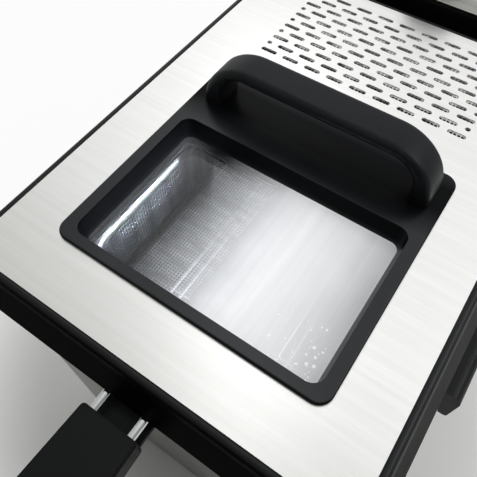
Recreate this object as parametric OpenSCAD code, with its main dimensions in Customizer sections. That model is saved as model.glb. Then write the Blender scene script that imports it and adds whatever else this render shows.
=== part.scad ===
// Cold-zone deep fryer: stainless body, lift-out pan, mesh basket, rear control unit, vented lid.
// Millimetres, +Z up. The origin is on the floor, under the middle of the whole machine.
// Heights with _z are above the floor. Places with _y are measured from the lid panel's front edge.

/* [Lid] */
// Width of the steel lid panel
panel_w = 200; // [170:1:240]
// Length of the steel lid panel
panel_l = 272; // [268:1:320]
// Thickness of the lid panel and the inner lid shell
panel_t = 0.8; // [0.5:0.1:1.5]
// Corner radius of the lid panel
panel_corner_r = 2.5; // [1:0.5:6]
// Height of the lid panel's top above the body's top edge
lid_rise = 27.6; // [25:0.1:36]
// How far the rim's skirt stands out from the panel
rim_reach = 11.4; // [8:0.1:16]
// How far the rim's skirt hangs below the panel's top
rim_drop = 18.8; // [14:0.1:19]
// Radius of the rim's shoulder
shoulder_r = 3; // [2:0.1:4]
// Wall of the plastic lid parts
plastic_t = 2.4; // [1.8:0.1:3]
// Distance from the panel's edge in to the rim's standing wall
rim_wall_in = 4.6; // [4:0.1:6]

/* [Window] */
// Width of the window frame
frame_w = 145.6; // [120:0.2:150]
// Length of the window frame
frame_l = 136; // [130:1:142]
// Front edge of the window frame behind the panel's front edge
frame_y = 28.3; // [24:0.1:34]
// Corner radius of the window frame
frame_corner_r = 7.1; // [5:0.1:10]
// How proud the window frame stands of the panel
frame_proud = 2.2; // [1.5:0.1:4]
// Width of the frame's border round the window
frame_border = 6.7; // [5.5:0.1:9]
// Length of the window opening
window_l = 88; // [70:1:92]
// Depth of the glass below the panel's top
glass_depth = 9.8; // [7:0.1:10.5]
// How far each side of the window well leans in
well_lean = 2.1; // [1:0.1:3]
// Thickness of the glass
glass_t = 3.2; // [2.5:0.1:3.5]

/* [Lid handle] */
// Width of the lid handle over its feet
arch_w = 132.2; // [110:0.2:134]
// Width of the handle strap from front to back
arch_l = 19.6; // [16:0.1:24]
// Height of the handle above the window frame
arch_h = 28.6; // [25:0.1:36]
// Thickness of the handle's grip bar
arch_t = 6.3; // [5:0.1:9]
// Thickness of the handle's legs
arch_leg = 10.7; // [8:0.1:14]
// Front face of the handle behind the panel's front edge
arch_y = 137.5; // [134:0.1:140]

/* [Vents] */
// Length of a vent slot
slot_l = 10.4; // [8:0.1:11.5]
// Width of a vent slot
slot_w = 2.8; // [2:0.1:3.4]
// Distance between slots in a row
slot_pitch = 14.8; // [13.5:0.1:15]
// Distance between rows
row_pitch = 6.65; // [5:0.05:7]
// Number of rows
rows = 11; // [7:1:11]
// Slots in a full row
slots_in_row = 9; // [7:2:9]
// Length of the short slots that end every other row
stub_l = 3; // [2.9:0.1:4]
// First row behind the panel's front edge
first_row_y = 194.2; // [190:0.1:197]

/* [Body] */
// Height of the body's top edge above the floor
body_h = 234.4; // [200:0.2:260]
// Wall of the steel body
body_t = 1; // [0.8:0.1:1.5]
// Gap from the panel's outline in to the body, seen from above, at the sides
body_inset = 1.5; // [1:0.1:4]
// How far the body's front stands out in front of the panel's front edge
body_front = 2; // [1:0.1:4]
// Corner radius of the body
body_corner_r = 8; // [6:0.5:12]
// Height of the rubber feet below the base
foot_h = 8; // [5:0.5:14]
// Radius of a rubber foot
foot_r = 11; // [8:0.5:14]
// Length of a side carry handle
carry_l = 110; // [90:1:140]
// How far a carry handle stands out
carry_reach = 26; // [24:0.5:32]
// Height of a carry handle
carry_h = 26; // [22:0.5:32]

/* [Oil pan] */
// Height of the pan's floor above the machine's floor
pan_floor_z = 64; // [50:1:74]
// Sheet thickness of the pan
pan_t = 0.9; // [0.7:0.1:1.4]
// Corner radius of the pan's walls
pan_corner_r = 40; // [30:1:48]
// Radius between the pan's walls and floor
pan_bottom_r = 14; // [8:1:18]
// Width of the pan's flange that lies on the body
pan_flange = 8.5; // [7:0.1:10]

/* [Basket] */
// Width of the basket over its mesh
basket_w = 156; // [120:1:160]
// Length of the basket over its mesh
basket_l = 216; // [180:1:218]
// Depth of the basket
basket_h = 43; // [40:1:72]
// Corner radius of the basket
basket_corner_r = 48; // [30:1:52]
// Distance from the panel's top down to the basket's rim
basket_drop = 41; // [38:0.5:46]
// Thickness of the mesh sheet
mesh_t = 1.2; // [1:0.1:2]
// Diameter of the basket's rim wire
rim_wire_d = 3.6; // [3:0.1:4]
// Diameter of the basket's support wires
support_d = 2.6; // [2:0.1:3]
// Distance of the inner pair of floor runners from the basket's middle
runner_x = 34.8; // [25:0.2:44]
// Distance between the two runners of a pair
runner_pair = 6.6; // [5:0.2:9]

/* [Basket handle] */
// Diameter of the handle wires
wire_d = 4.2; // [3.6:0.1:4.6]
// Distance between the two handle wires
wire_pitch = 21.2; // [18:0.1:24]
// Distance from the panel's top down to the wires
wire_drop = 23.75; // [23.3:0.05:24]
// Distance from the panel's front edge to the grip
grip_gap = 20.1; // [18:0.1:30]
// Length of the grip
grip_l = 120; // [90:1:150]
// Width of the grip at the body end
grip_w_in = 31; // [29:0.5:36]
// Width of the grip at its far end
grip_w_out = 38; // [30:0.5:42]
// Thickness of the grip above the wires
grip_up = 4.2; // [3.5:0.1:5]
// Thickness of the grip below the wires
grip_down = 13; // [9:0.5:18]
// Thickness of the rest that runs from the grip to the body
rest_t = 3; // [2:0.5:4]

/* [Control unit] */
// Width of the control box
box_w = 140; // [120:1:160]
// Depth of the control box
box_l = 60; // [54:1:76]
// Height of the control box's floor above the machine's floor
box_floor_z = 132; // [110:1:140]
// Height of the control panel's front edge above the lid panel
box_rise = 6; // [4:0.5:12]
// Lean of the control panel towards the user
fascia_tilt = 15; // [5:1:20]
// Wall of the control box
box_t = 2.2; // [1.8:0.1:3]
// Gap between the lid's back skirt and the control box
box_gap = 2.6; // [2:0.1:5]
// Diameter of the temperature knob
knob_d = 42; // [34:0.5:46]
// Height of the temperature knob
knob_h = 15; // [11:0.5:18]
// Diameter of the knob's spindle
spindle_d = 6; // [5:0.5:7]
// Radius of the hole in the cord gland
gland_bore_r = 3.6; // [3:0.1:4.2]
// Travel of the reset button
reset_travel = 2; // [1:0.5:3]

/* [Heating element] */
// Diameter of the element's tube
element_d = 6.6; // [5.5:0.1:8]
// Distance from the body's top edge down to the element's loops
element_drop = 116.4; // [110:0.2:124]
// Half width of the outer loop
element_out = 56; // [48:1:62]
// Half width of the inner loop
element_in = 22; // [20:1:26]
// Bend radius of the tube
element_bend = 12; // [10:0.5:14]
// Half distance of the element's legs
leg_half = 17; // [15:0.5:19]
// Bend radius where the legs turn down into the pan
leg_bend = 8; // [7:0.5:10]
// Diameter of the thermostat's sensor bulb
bulb_d = 5; // [4:0.5:6]
// Diameter of the bulb's thin tube
capillary_d = 1.6; // [1.2:0.1:2]

/* [Fits] */
// Clearance between parts that lift apart
lift_gap = 0.3; // [0.3:0.05:0.6]
// Radial clearance of a turning or sliding fit
run_gap = 0.05; // [0.02:0.01:0.1]
// Radial clearance round a screw
screw_gap = 0.1; // [0.05:0.05:0.3]

/* [Hidden] */

$fn = 64;
cut = 1;                      // extra length of a cutting tool past a face
panel_z = body_h + lid_rise;  // top of the lid panel
box_y = panel_l + rim_reach + box_gap;
box_back_y = box_y + box_l;
gland_out = 9;
back_reach = box_back_y + gland_out;
front_reach = grip_gap + grip_l;
front_y = (front_reach - back_reach) / 2;  // the panel's front edge in the machine's own frame

body_w = panel_w - 2 * body_inset;
body_l = panel_l + 2 * body_front;
base_z = foot_h;

// Pan
pan_top_z = body_h + 0.2 + pan_t;
pan_w = body_w - 2 * pan_flange;
pan_l = body_l - 2 * pan_flange;
pan_y = -body_front + pan_flange;
element_z = body_h - element_drop;

// Lid
rim_foot_drop = panel_z - pan_top_z - lift_gap;  // the rim's wall stands this far below the panel
notch_top_drop = wire_drop - wire_d / 2 - 1.2;
shell_top_drop = glass_depth + glass_t + 2;
window_w = frame_w - 2 * frame_border;
window_y = frame_y + frame_border - 0.8;
well_w = window_w - 2 * well_lean;
well_l = window_l - 2 * well_lean;
frame_body_in = 2.4;  // the frame's lower box stands this far inside its flange
glass_rest = 2.6;     // how far the glass reaches under the frame on each side
lid_screw_r = 1.5;

// Screw places on the lid's rim wall
lid_screw_places = [for (side = [-1, 1]) for (at = [14, panel_l / 2 + 45, panel_l - 14])
    [side * (panel_w / 2 - rim_wall_in - plastic_t - 4), at]];

// Vent field
field_half = (slots_in_row - 1) / 2 * slot_pitch + slot_l / 2;
field_l = (rows - 1) * row_pitch;
filter_margin = 1.8;
filter_w = 2 * (field_half + filter_margin);
filter_l = field_l + slot_w + 2 * filter_margin;
filter_y = first_row_y - slot_w / 2 - filter_margin;
filter_wall = 1.8;
filter_t = 1.6;
filter_drop = 3.6;

// Basket
basket_y = pan_y + 5;
rim_z = panel_z - basket_drop;
basket_floor_z = rim_z - basket_h;
wire_z = panel_z - wire_drop;
socket_l = 20;
socket_y = basket_y - 2;
socket_wall = 1.3;
wire_in = socket_y + socket_l - 2;  // the wires end here, inside their sockets

// Grip
grip_y = -grip_gap - grip_l;
wire_end_y = grip_y + 22;
grip_edge_r = 3;
grip_screw_y = [grip_y + 34, -grip_gap - 26];

// Control unit
bridge_half = leg_half + 13;
bridge_low_z = pan_top_z + lift_gap;
bridge_high_z = bridge_low_z + element_d + 3.2;
bridge_y = pan_y + pan_l - 21;
element_top_z = (bridge_low_z + bridge_high_z) / 2;
riser_y = pan_y + pan_l - 12;
front_loop_y = pan_y + 45;
back_loop_y = riser_y - 24;
fascia_front_z = panel_z + box_rise;
fascia_t = 2.4;
fascia_seat = (fascia_t - 1) / cos(fascia_tilt) + 0.5 * tan(fascia_tilt) + 0.05;  // below its front edge
fascia_l = (box_l - 1) / cos(fascia_tilt);
knob_place = fascia_l / 2;
lens_half = box_w / 2 - 26;
lens_r = 4;
gland_x = box_w / 2 - 24;
gland_z = box_floor_z + 22;
reset_x = 30 - box_w / 2;
reset_y = box_y + box_l - 18;
reset_r = 3.8;
stem_r = 1.8;
cutout_low_z = box_floor_z + box_t + 13;
guide_rail_x = box_w / 2 - 20;
guide_low_z = box_floor_z + 16;
guide_high_z = body_h - 6;
tongue_t = 3;
tongue_l = 8;
peg_r = 2.5;
peg_y = box_y + 9;
switch_z = box_floor_z + box_t + 5;  // underside of the switch's plunger
housing_back_y = panel_l + body_front;

function arc(cx, cy, r, from, to, steps = 8) =
    [for (i = [0:steps]) let (a = from + (to - from) * i / steps) [cx + r * cos(a), cy + r * sin(a)]];

// Everything is drawn from the lid panel's front edge and then set about the machine's middle.
module placed() {
    translate([0, front_y, 0]) children();
}

// A flat rounded rectangle, centred in X, from y = 0 to y = l
module rounded_rect(w, l, r) {
    translate([-w / 2, r]) square([w, l - 2 * r]);
    translate([-w / 2 + r, 0]) square([w - 2 * r, l]);
    for (x = [-1, 1])
        for (y = [r, l - r])
            translate([x * (w / 2 - r), y]) circle(r = r);
}

module rounded_plate(w, l, r, t) {
    linear_extrude(t) rounded_rect(w, l, r);
}

// Sweeps a profile (x outward from the outline, y up) round a rounded rectangle
module swept_round(w, l, r) {
    for (side = [0, 1])
        mirror([side, 0, 0]) translate([w / 2, l - r, 0]) rotate([90, 0, 0])
            linear_extrude(l - 2 * r) children();
    translate([-w / 2 + r, l, 0]) rotate([0, 0, 90]) rotate([90, 0, 0])
        linear_extrude(w - 2 * r) children();
    translate([w / 2 - r, 0, 0]) rotate([0, 0, -90]) rotate([90, 0, 0])
        linear_extrude(w - 2 * r) children();
    for (corner = [[1, l - r, 0], [-1, l - r, 90], [-1, r, 180], [1, r, 270]])
        translate([corner[0] * (w / 2 - r), corner[1], 0]) rotate([0, 0, corner[2]])
            rotate_extrude(angle = 90) translate([r, 0]) children();
}

// A screw with its head at z = 0 and below, and its shank upward
module screw(r, l, head_r, head_t) {
    translate([0, 0, -head_t]) difference() {
        cylinder(r = head_r, h = head_t, $fn = 32);
        for (turn = [0, 90])
            rotate([0, 0, turn]) translate([-head_r * 0.6, -head_r * 0.12, -cut])
                cube([head_r * 1.2, head_r * 0.24, head_t / 2 + cut]);
    }
    cylinder(r = r, h = l, $fn = 32);
}

module screw_hole(r, l) {
    cylinder(r = r + screw_gap, h = l, $fn = 32);
}

// ---------- body ----------

module carry_screw_places() {
    for (side = [-1, 1])
        for (end = [-1, 1])
            translate([side * (body_w / 2 - body_t), body_l / 2 - body_front + end * carry_l * 0.36,
                carry_top_z - carry_h * 0.72])
                rotate([0, side * 90, 0]) children();
}

carry_top_z = body_h - 14;
carry_screw_r = 2;

module outer_housing() {
    placed() color("silver") difference() {
        translate([0, -body_front, 0])
            swept_round(body_w, body_l, body_corner_r)
                polygon([[0, base_z], [0, body_h], [-body_corner_r + 2, body_h],
                    [-body_corner_r + 2, body_h - body_t], [-body_t, body_h - body_t],
                    [-body_t, base_z]]);
        carry_screw_places() translate([0, 0, -cut]) screw_hole(carry_screw_r, body_t + 2 * cut);
    }
}

base_wall_h = 14;
base_w = body_w - 2 * body_t - 0.4;
base_l = body_l - 2 * body_t - 0.4;
base_y = -body_front + body_t + 0.2;
base_r = body_corner_r - body_t;
foot_screw_r = 2;

module foot_places() {
    for (x = [-1, 1])
        for (y = [base_y + foot_r + 10, base_y + base_l - foot_r - 10])
            translate([x * (base_w / 2 - foot_r - 8), y, 0]) children();
}

module base_tray() {
    placed() color("dimgray") difference() {
        union() {
            difference() {
                translate([0, base_y, base_z]) rounded_plate(base_w, base_l, base_r, base_wall_h);
                translate([0, base_y + plastic_t, base_z + plastic_t])
                    rounded_plate(base_w - 2 * plastic_t, base_l - 2 * plastic_t, base_r - plastic_t,
                        base_wall_h);
            }
            foot_places() translate([0, 0, base_z]) cylinder(r = 5, h = base_wall_h - 2);
        }
        foot_places() translate([0, 0, base_z - cut]) screw_hole(foot_screw_r, base_wall_h + 2 * cut);
        for (x = [-54:12:54])
            translate([x - 2, base_y + base_l / 2 - 40, base_z - cut]) cube([4, 80, plastic_t + 2 * cut]);
    }
}

module rubber_feet() {
    placed() color("black") foot_places() difference() {
        rotate_extrude() polygon([[0, 0], [foot_r - 2.5, 0], [foot_r - 1.5, 1], [foot_r, foot_h], [0, foot_h]]);
        translate([0, 0, -cut]) cylinder(r = 4.6, h = 3 + cut);
        translate([0, 0, -cut]) screw_hole(foot_screw_r, foot_h + 2 * cut);
    }
}

module foot_screws() {
    placed() color("silver") foot_places() translate([0, 0, 3]) screw(foot_screw_r, foot_h + 6, 4, 2);
}

module carry_handle() {
    // Hooked section, x outward from the body and z down from the handle's top
    lip = 4.5;
    top = 5;
    back = 5;
    length_mid = body_l / 2 - body_front;
    difference() {
        translate([body_w / 2, length_mid + carry_l / 2, carry_top_z]) rotate([90, 0, 0])
            linear_extrude(carry_l) difference() {
                polygon(concat([[0, 0], [0, -carry_h], [carry_reach - 2, -carry_h]],
                    arc(carry_reach - 2, -carry_h + 2, 2, -90, 0, 4),
                    arc(carry_reach - 6, -6, 6, 0, 90)));
                translate([back, -carry_h - cut]) square([carry_reach - back - lip, carry_h - top + cut]);
            }
        carry_screw_places() screw_hole(carry_screw_r, body_t + 4.2);
    }
    // End walls close the hollow
    for (end = [-1, 1])
        translate([body_w / 2 + back, length_mid + end * (carry_l / 2 - 1.5) - 1.5, carry_top_z - carry_h + 2])
            cube([carry_reach - back - 2, 3, carry_h - 6]);
}

module carry_handle_right() {
    placed() color("#202224") carry_handle();
}

module carry_handle_left() {
    placed() color("#202224") mirror([1, 0, 0]) carry_handle();
}

module carry_handle_screws() {
    placed() color("silver") carry_screw_places() screw(carry_screw_r, body_t + 4, 3.6, 2);
}

// Rails on the body's back: the control unit's two tongues drop into them
module rear_guide() {
    placed() color("#26282a") {
        translate([-guide_rail_x - 10, housing_back_y, guide_low_z - 4])
            cube([2 * guide_rail_x + 20, 2.5, guide_high_z - guide_low_z + 4]);
        for (side = [-1, 1])
            for (wall = [-1, 1])
                translate([side * guide_rail_x + wall * (tongue_t / 2 + 1.5) - 1.1, housing_back_y + 2,
                    guide_low_z - 4])
                    cube([2.2, box_y - housing_back_y - 2 - lift_gap, guide_high_z - guide_low_z + 4]);
        // Shelf and peg that work the safety switch
        translate([-14, housing_back_y, box_floor_z - 6]) cube([28, box_y - housing_back_y + 16, 6 - lift_gap]);
        translate([-14, housing_back_y, box_floor_z - 6]) cube([28, 2.5, guide_low_z - box_floor_z + 4]);
        translate([0, peg_y, box_floor_z - 2]) cylinder(r = peg_r, h = switch_z + 2 - box_floor_z - lift_gap);
    }
}

// ---------- oil pan ----------

// Drawn pan: flange with the body's corners, walls and floor with wide round corners
module oil_pan() {
    flange_w = body_w - 0.4;
    flange_l = body_l - 0.4;
    placed() color("gainsboro") {
        translate([0, 0, pan_top_z - pan_t]) linear_extrude(pan_t) difference() {
            translate([0, -body_front + 0.2]) rounded_rect(flange_w, flange_l, body_corner_r - 0.2);
            translate([0, pan_y + pan_t]) rounded_rect(pan_w - 2 * pan_t, pan_l - 2 * pan_t, pan_corner_r - pan_t);
        }
        translate([0, pan_y, 0]) {
            swept_round(pan_w, pan_l, pan_corner_r)
                polygon(concat([[-pan_t, pan_top_z - pan_t / 2]],
                    arc(-pan_bottom_r, pan_floor_z + pan_bottom_r, pan_bottom_r - pan_t, 0, -90),
                    [[-pan_bottom_r, pan_floor_z]],
                    arc(-pan_bottom_r, pan_floor_z + pan_bottom_r, pan_bottom_r, -90, 0),
                    [[0, pan_top_z - pan_t / 2]]));
            translate([0, pan_bottom_r, pan_floor_z])
                rounded_plate(pan_w - 2 * pan_bottom_r, pan_l - 2 * pan_bottom_r,
                    pan_corner_r - pan_bottom_r, pan_t);
        }
    }
}

// ---------- control unit ----------

// Sets its children on the leaning control panel: x across, y up the slope, z out of it
module on_fascia(y) {
    translate([0, box_y + 0.5, fascia_front_z]) rotate([fascia_tilt, 0, 0]) translate([0, y, 0]) children();
}

module cover_screw_places() {
    for (x = [-1, 1])
        for (z = [box_floor_z + 9, panel_z - 22])
            translate([x * (box_w / 2 - 8), box_back_y, z]) rotate([90, 0, 0]) children();
}

module box_outline(grow, top) {
    // Side view of the box: y back, z up, with the leaning top
    rise = box_l * tan(fascia_tilt);
    polygon([[grow, box_floor_z + grow], [grow, fascia_front_z - top],
        [box_l, fascia_front_z - top + rise], [box_l, box_floor_z + grow]]);
}

module control_housing() {
    placed() color("#202224") {
        difference() {
            translate([-box_w / 2, box_y, 0]) rotate([90, 0, 90]) linear_extrude(box_w) box_outline(0, fascia_seat);
            translate([-box_w / 2 + box_t, box_y, 0]) rotate([90, 0, 90])
                linear_extrude(box_w - 2 * box_t) box_outline(box_t, -30);
            translate([-box_w / 2 - cut, box_back_y - box_t, box_floor_z - cut])
                cube([box_w + 2 * cut, box_t + cut, 400]);
            // Way in from the bridge
            translate([-bridge_half + 2, box_y - cut, bridge_low_z + 1.5])
                cube([2 * bridge_half - 4, box_t + 2 * cut, bridge_high_z - bridge_low_z - 3]);
            // Peg hole and reset button hole
            translate([0, peg_y, box_floor_z - cut]) cylinder(r = peg_r + 0.7, h = box_t + 2 * cut);
            translate([reset_x, reset_y, box_floor_z - cut]) cylinder(r = reset_r + run_gap, h = box_t + 2 * cut);
        }
        for (side = [-1, 1])
            translate([side * guide_rail_x - tongue_t / 2 + 0.2, box_y - tongue_l, guide_low_z + 2])
                cube([tongue_t - 0.4, tongue_l + 1, guide_high_z - guide_low_z - 6]);
        // Posts for the cover's screws
        difference() {
            for (x = [-1, 1])
                for (z = [box_floor_z + 9, panel_z - 22])
                    translate([x * (box_w / 2 - 8), box_back_y - box_t, z]) rotate([90, 0, 0]) {
                        cylinder(r = 4, h = 14);
                        translate([x > 0 ? 0 : -7, -4, 0]) cube([7, 8, 14]);
                    }
            cover_screw_places() screw_hole(1.6, 14);
        }
    }
}

module control_back_cover() {
    placed() color("#1b1c1e") difference() {
        translate([-box_w / 2, box_back_y - box_t, box_floor_z])
            cube([box_w, box_t, fascia_front_z - box_floor_z - fascia_seat + (box_l - box_t) * tan(fascia_tilt)]);
        cover_screw_places() translate([0, 0, -cut]) screw_hole(1.6, box_t + 2 * cut);
        translate([gland_x, box_back_y + cut, gland_z]) rotate([90, 0, 0]) cylinder(r = 6.5, h = box_t + 2 * cut);
        for (row = [0:7])
            translate([-32, box_back_y - box_t - cut, box_floor_z + 52 + row * 6]) cube([64, box_t + 2 * cut, 2.4]);
    }
}

module control_fascia() {
    placed() color("silver") difference() {
        on_fascia(0) translate([-box_w / 2, 0, -fascia_t + 1])
            cube([box_w, fascia_l, fascia_t]);
        on_fascia(knob_place) translate([0, 0, -10]) cylinder(r = spindle_d / 2 + 0.6, h = 20);
        for (side = [-1, 1])
            on_fascia(knob_place) translate([side * lens_half, 0, -10]) cylinder(r = lens_r + run_gap, h = 20);
    }
}

// Channel that carries the element's legs over the pan's rim
module bridge_cover() {
    wall = 1.2;
    placed() color("silver") difference() {
        translate([-bridge_half, bridge_y, bridge_low_z])
            cube([2 * bridge_half, box_y - bridge_y, bridge_high_z - bridge_low_z]);
        translate([-bridge_half + wall, bridge_y + wall, bridge_low_z - cut])
            cube([2 * bridge_half - 2 * wall, riser_y + 8 - bridge_y - wall, bridge_high_z - bridge_low_z - wall + cut]);
        translate([-bridge_half + wall, bridge_y + wall, bridge_low_z + wall])
            cube([2 * bridge_half - 2 * wall, box_y - bridge_y, bridge_high_z - bridge_low_z - 2 * wall]);
    }
}

module cover_screws() {
    placed() color("silver") cover_screw_places() screw(1.6, 12, 3, 1.6);
}

// A straight tube from p to q, along one axis
module tube(p, q, d) {
    v = q - p;
    turn = abs(v[0]) > 0 ? [0, v[0] > 0 ? 90 : -90, 0] : abs(v[1]) > 0 ? [v[1] > 0 ? -90 : 90, 0, 0] :
        [v[2] > 0 ? 0 : 180, 0, 0];
    translate(p) rotate(turn) cylinder(d = d, h = norm(v), $fn = 32);
}

// A quarter bend about a centre: turned from its own X towards its own Y
module bend(centre, turn, r, d, angle = 90) {
    translate(centre) rotate(turn) rotate_extrude(angle = angle) translate([r, 0]) circle(d = d, $fn = 32);
}

// One half of the element: out of the box, down the back wall, out, forward, round and back
module element_half() {
    b = element_bend;
    u = (element_out - element_in) / 2;
    tube([leg_half, box_y + 16, element_top_z], [leg_half, riser_y + leg_bend, element_top_z], element_d);
    bend([leg_half, riser_y + leg_bend, element_top_z - leg_bend], [90, 0, -90], leg_bend, element_d);
    tube([leg_half, riser_y, element_top_z - leg_bend], [leg_half, riser_y, element_z + b], element_d);
    bend([leg_half + b, riser_y, element_z + b], [-90, 0, 180], b, element_d);
    tube([leg_half + b, riser_y, element_z], [element_out - b, riser_y, element_z], element_d);
    bend([element_out - b, riser_y - b, element_z], [0, 0, 0], b, element_d);
    tube([element_out, riser_y - b, element_z], [element_out, front_loop_y, element_z], element_d);
    bend([element_in + u, front_loop_y, element_z], [0, 0, 180], u, element_d, 180);
    tube([element_in, front_loop_y, element_z], [element_in, back_loop_y - element_in, element_z], element_d);
    bend([0, back_loop_y - element_in, element_z], [0, 0, 0], element_in, element_d);
}

module heating_element() {
    placed() color("#5a5550") {
        element_half();
        mirror([1, 0, 0]) element_half();
    }
}

// Cross strips that hold the loops, and the plate behind the legs
module element_bracket() {
    t = 1.2;
    loop_l = back_loop_y - front_loop_y;
    placed() color("silver") {
        for (share = [0.17, 0.67])
            translate([-element_out - 6, front_loop_y + share * loop_l, element_z - element_d / 2 - t - 0.05])
                cube([2 * element_out + 12, 10, t]);
        translate([-leg_half - 12, riser_y + element_d / 2 + 0.1, element_z + 30])
            cube([2 * leg_half + 24, t, bridge_low_z - element_z - 30 - 0.2]);
    }
}

thermo_w = 34;
thermo_h = 18;

module thermostat() {
    placed() color("ivory") on_fascia(knob_place) {
        difference() {
            union() {
                translate([-thermo_w / 2, -14, -fascia_t - thermo_h - 1]) cube([thermo_w, 28, thermo_h]);
                translate([0, 0, -fascia_t - 1]) cylinder(r = spindle_d / 2 + 2, h = 2);
            }
            translate([0, 0, -fascia_t - thermo_h]) cylinder(r = spindle_d / 2 + run_gap, h = thermo_h + 5);
        }
    }
}

module thermostat_spindle() {
    placed() color("silver") on_fascia(knob_place)
        translate([0, 0, -fascia_t - 12]) cylinder(r = spindle_d / 2, h = fascia_t + 12 + 1 + knob_h - 3);
}

module thermostat_knob() {
    grip_ribs = 24;
    placed() color("#18191a") on_fascia(knob_place) translate([0, 0, 1 + lift_gap]) difference() {
        union() {
            rotate_extrude() polygon(concat([[0, 0], [knob_d / 2, 0], [knob_d / 2, 2.5], [knob_d / 2 - 3, 4]],
                arc(knob_d / 2 - 6, knob_h - 2, 2, 0, 90, 5), [[0, knob_h]]));
            translate([-1.2, 0, 2]) cube([2.4, knob_d / 2 - 2.5, knob_h - 1.6]);
        }
        translate([0, 0, -cut]) cylinder(r = spindle_d / 2 + run_gap, h = knob_h - 3 + cut - lift_gap + run_gap);
        for (i = [0:grip_ribs - 1])
            rotate([0, 0, (i + 0.5) * 360 / grip_ribs]) translate([knob_d / 2 - 3, 0, 4.5]) cylinder(r = 0.9, h = knob_h);
    }
}

module lens(side) {
    on_fascia(knob_place) translate([side * lens_half, 0, -fascia_t]) {
        cylinder(r = lens_r, h = fascia_t + 1.6);
        translate([0, 0, fascia_t + 1 + 0.05]) cylinder(r = lens_r + 1.2, h = 1.4);
    }
}

module power_lens() {
    placed() color("red") lens(-1);
}

module ready_lens() {
    placed() color("limegreen") lens(1);
}

module pilot_lamps() {
    placed() color("white") for (side = [-1, 1])
        on_fascia(knob_place) translate([side * lens_half, 0, -fascia_t - 15]) {
            cylinder(r = 3, h = 14.6);
            translate([-5, -5, 0]) cube([10, 10, 5]);
        }
}

// Bulb of the thermostat between the element's loops, with its thin tube up to the box
module sensor_bulb() {
    d = capillary_d;
    r = 5;
    bulb_l = 80;
    bulb_y = (front_loop_y + back_loop_y + bulb_l) / 2 + r;
    level = element_z + 2 * r;
    up_y = riser_y - 4;
    placed() color("#b87333") {
        tube([0, bulb_y - r, element_z], [0, bulb_y - r - bulb_l, element_z], bulb_d);
        bend([0, bulb_y - r, element_z + r], [0, 90, 0], r, d);
        bend([0, bulb_y + r, element_z + r], [90, 0, -90], r, d);
        tube([0, bulb_y + r, level], [0, up_y - r, level], d);
        bend([0, up_y - r, level + r], [0, 90, 0], r, d);
        tube([0, up_y, level + r], [0, up_y, element_top_z - r], d);
        bend([0, up_y + r, element_top_z - r], [90, 0, -90], r, d);
        tube([0, up_y + r, element_top_z], [0, box_y + 30, element_top_z], d);
    }
}

module thermal_cutout() {
    leg_z = box_floor_z + box_t;
    placed() color("#3a2a20") translate([reset_x, reset_y, 0]) {
        difference() {
            translate([-11, -13, cutout_low_z]) cube([22, 26, 22]);
            translate([0, 0, cutout_low_z - cut]) cylinder(r = stem_r + 0.3, h = reset_travel + 1 + cut);
        }
        for (x = [-11, 8])
            translate([x, -13, leg_z]) cube([3, 26, cutout_low_z - leg_z + 0.5]);
    }
}

module reset_button() {
    placed() color("red") translate([reset_x, reset_y, 0]) {
        translate([0, 0, box_floor_z - 3]) cylinder(r = reset_r, h = 3 + box_t + lift_gap + 0.7);
        translate([0, 0, box_floor_z + box_t + lift_gap]) cylinder(r = reset_r + 1.6, h = 1.2);
        translate([0, 0, box_floor_z + box_t + lift_gap + 1]) cylinder(r = stem_r, h = 12);
    }
}

// A coil of half turns, each leaning the other way and a hair short of the next
module reset_spring() {
    $fn = 24;
    coils = 4;
    wire = 0.6;
    low = box_floor_z + box_t + lift_gap + 1.2 + 0.3 + wire / 2;
    high = cutout_low_z - 0.3 - wire / 2;
    pitch = (high - low) / coils;
    coil_r = stem_r + 1.2;
    lean = atan(pitch / 4 / coil_r);
    placed() color("silver") translate([reset_x, reset_y, low])
        for (i = [0:2 * coils - 1])
            bend([0, 0, pitch * (i + 0.5) / 2], [0, lean, 180 * i], coil_r / cos(lean), wire, 179.5);
}

module safety_microswitch() {
    placed() color("#22303a") translate([0, peg_y, switch_z]) {
        translate([-10, -5, 0.6]) cube([20, 10, 12]);
        for (x = [-10, 8])
            translate([x, -5, box_floor_z + box_t - switch_z]) cube([2, 10, switch_z - box_floor_z - box_t + 1]);
        cylinder(r = 1.4, h = 1);
    }
}

module terminal_block() {
    placed() color("ivory") {
        difference() {
            translate([gland_x - 14, box_y + 8, box_floor_z + box_t]) cube([32, 20, 16]);
            for (i = [0:2])
                translate([gland_x - 8 + i * 10, box_y + 18, box_floor_z + box_t + 8]) cylinder(r = 2.2, h = 20);
        }
    }
}

// Bush for a round 7 mm lead
module cord_gland() {
    length = gland_out + box_t + 8;
    placed() color("#151515") translate([gland_x, box_back_y + gland_out, gland_z]) rotate([90, 0, 0]) difference() {
        union() {
            rotate_extrude() polygon([[0, 0], [gland_bore_r + 1.6, 0], [gland_bore_r + 2.6, gland_out - 2],
                [9.4, gland_out - 2], [9.4, gland_out - 0.05], [0, gland_out - 0.05]]);
            translate([0, 0, gland_out - 1]) cylinder(r = 6.4, h = length - gland_out + 1);
        }
        translate([0, 0, -cut]) cylinder(r = gland_bore_r, h = length + 2 * cut);
    }
}

// ---------- basket ----------

module basket_mesh() {
    r = 8;
    placed() color("#c8ccd0") translate([0, basket_y, 0]) {
        swept_round(basket_w, basket_l, basket_corner_r)
            polygon(concat([[0, rim_z], [-mesh_t, rim_z]],
                arc(-r, basket_floor_z + r, r - mesh_t, 0, -90, 5),
                [[-r, basket_floor_z]],
                arc(-r, basket_floor_z + r, r, -90, 0, 5)));
        translate([0, r, basket_floor_z])
            rounded_plate(basket_w - 2 * r, basket_l - 2 * r, basket_corner_r - r, mesh_t);
    }
}

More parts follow.
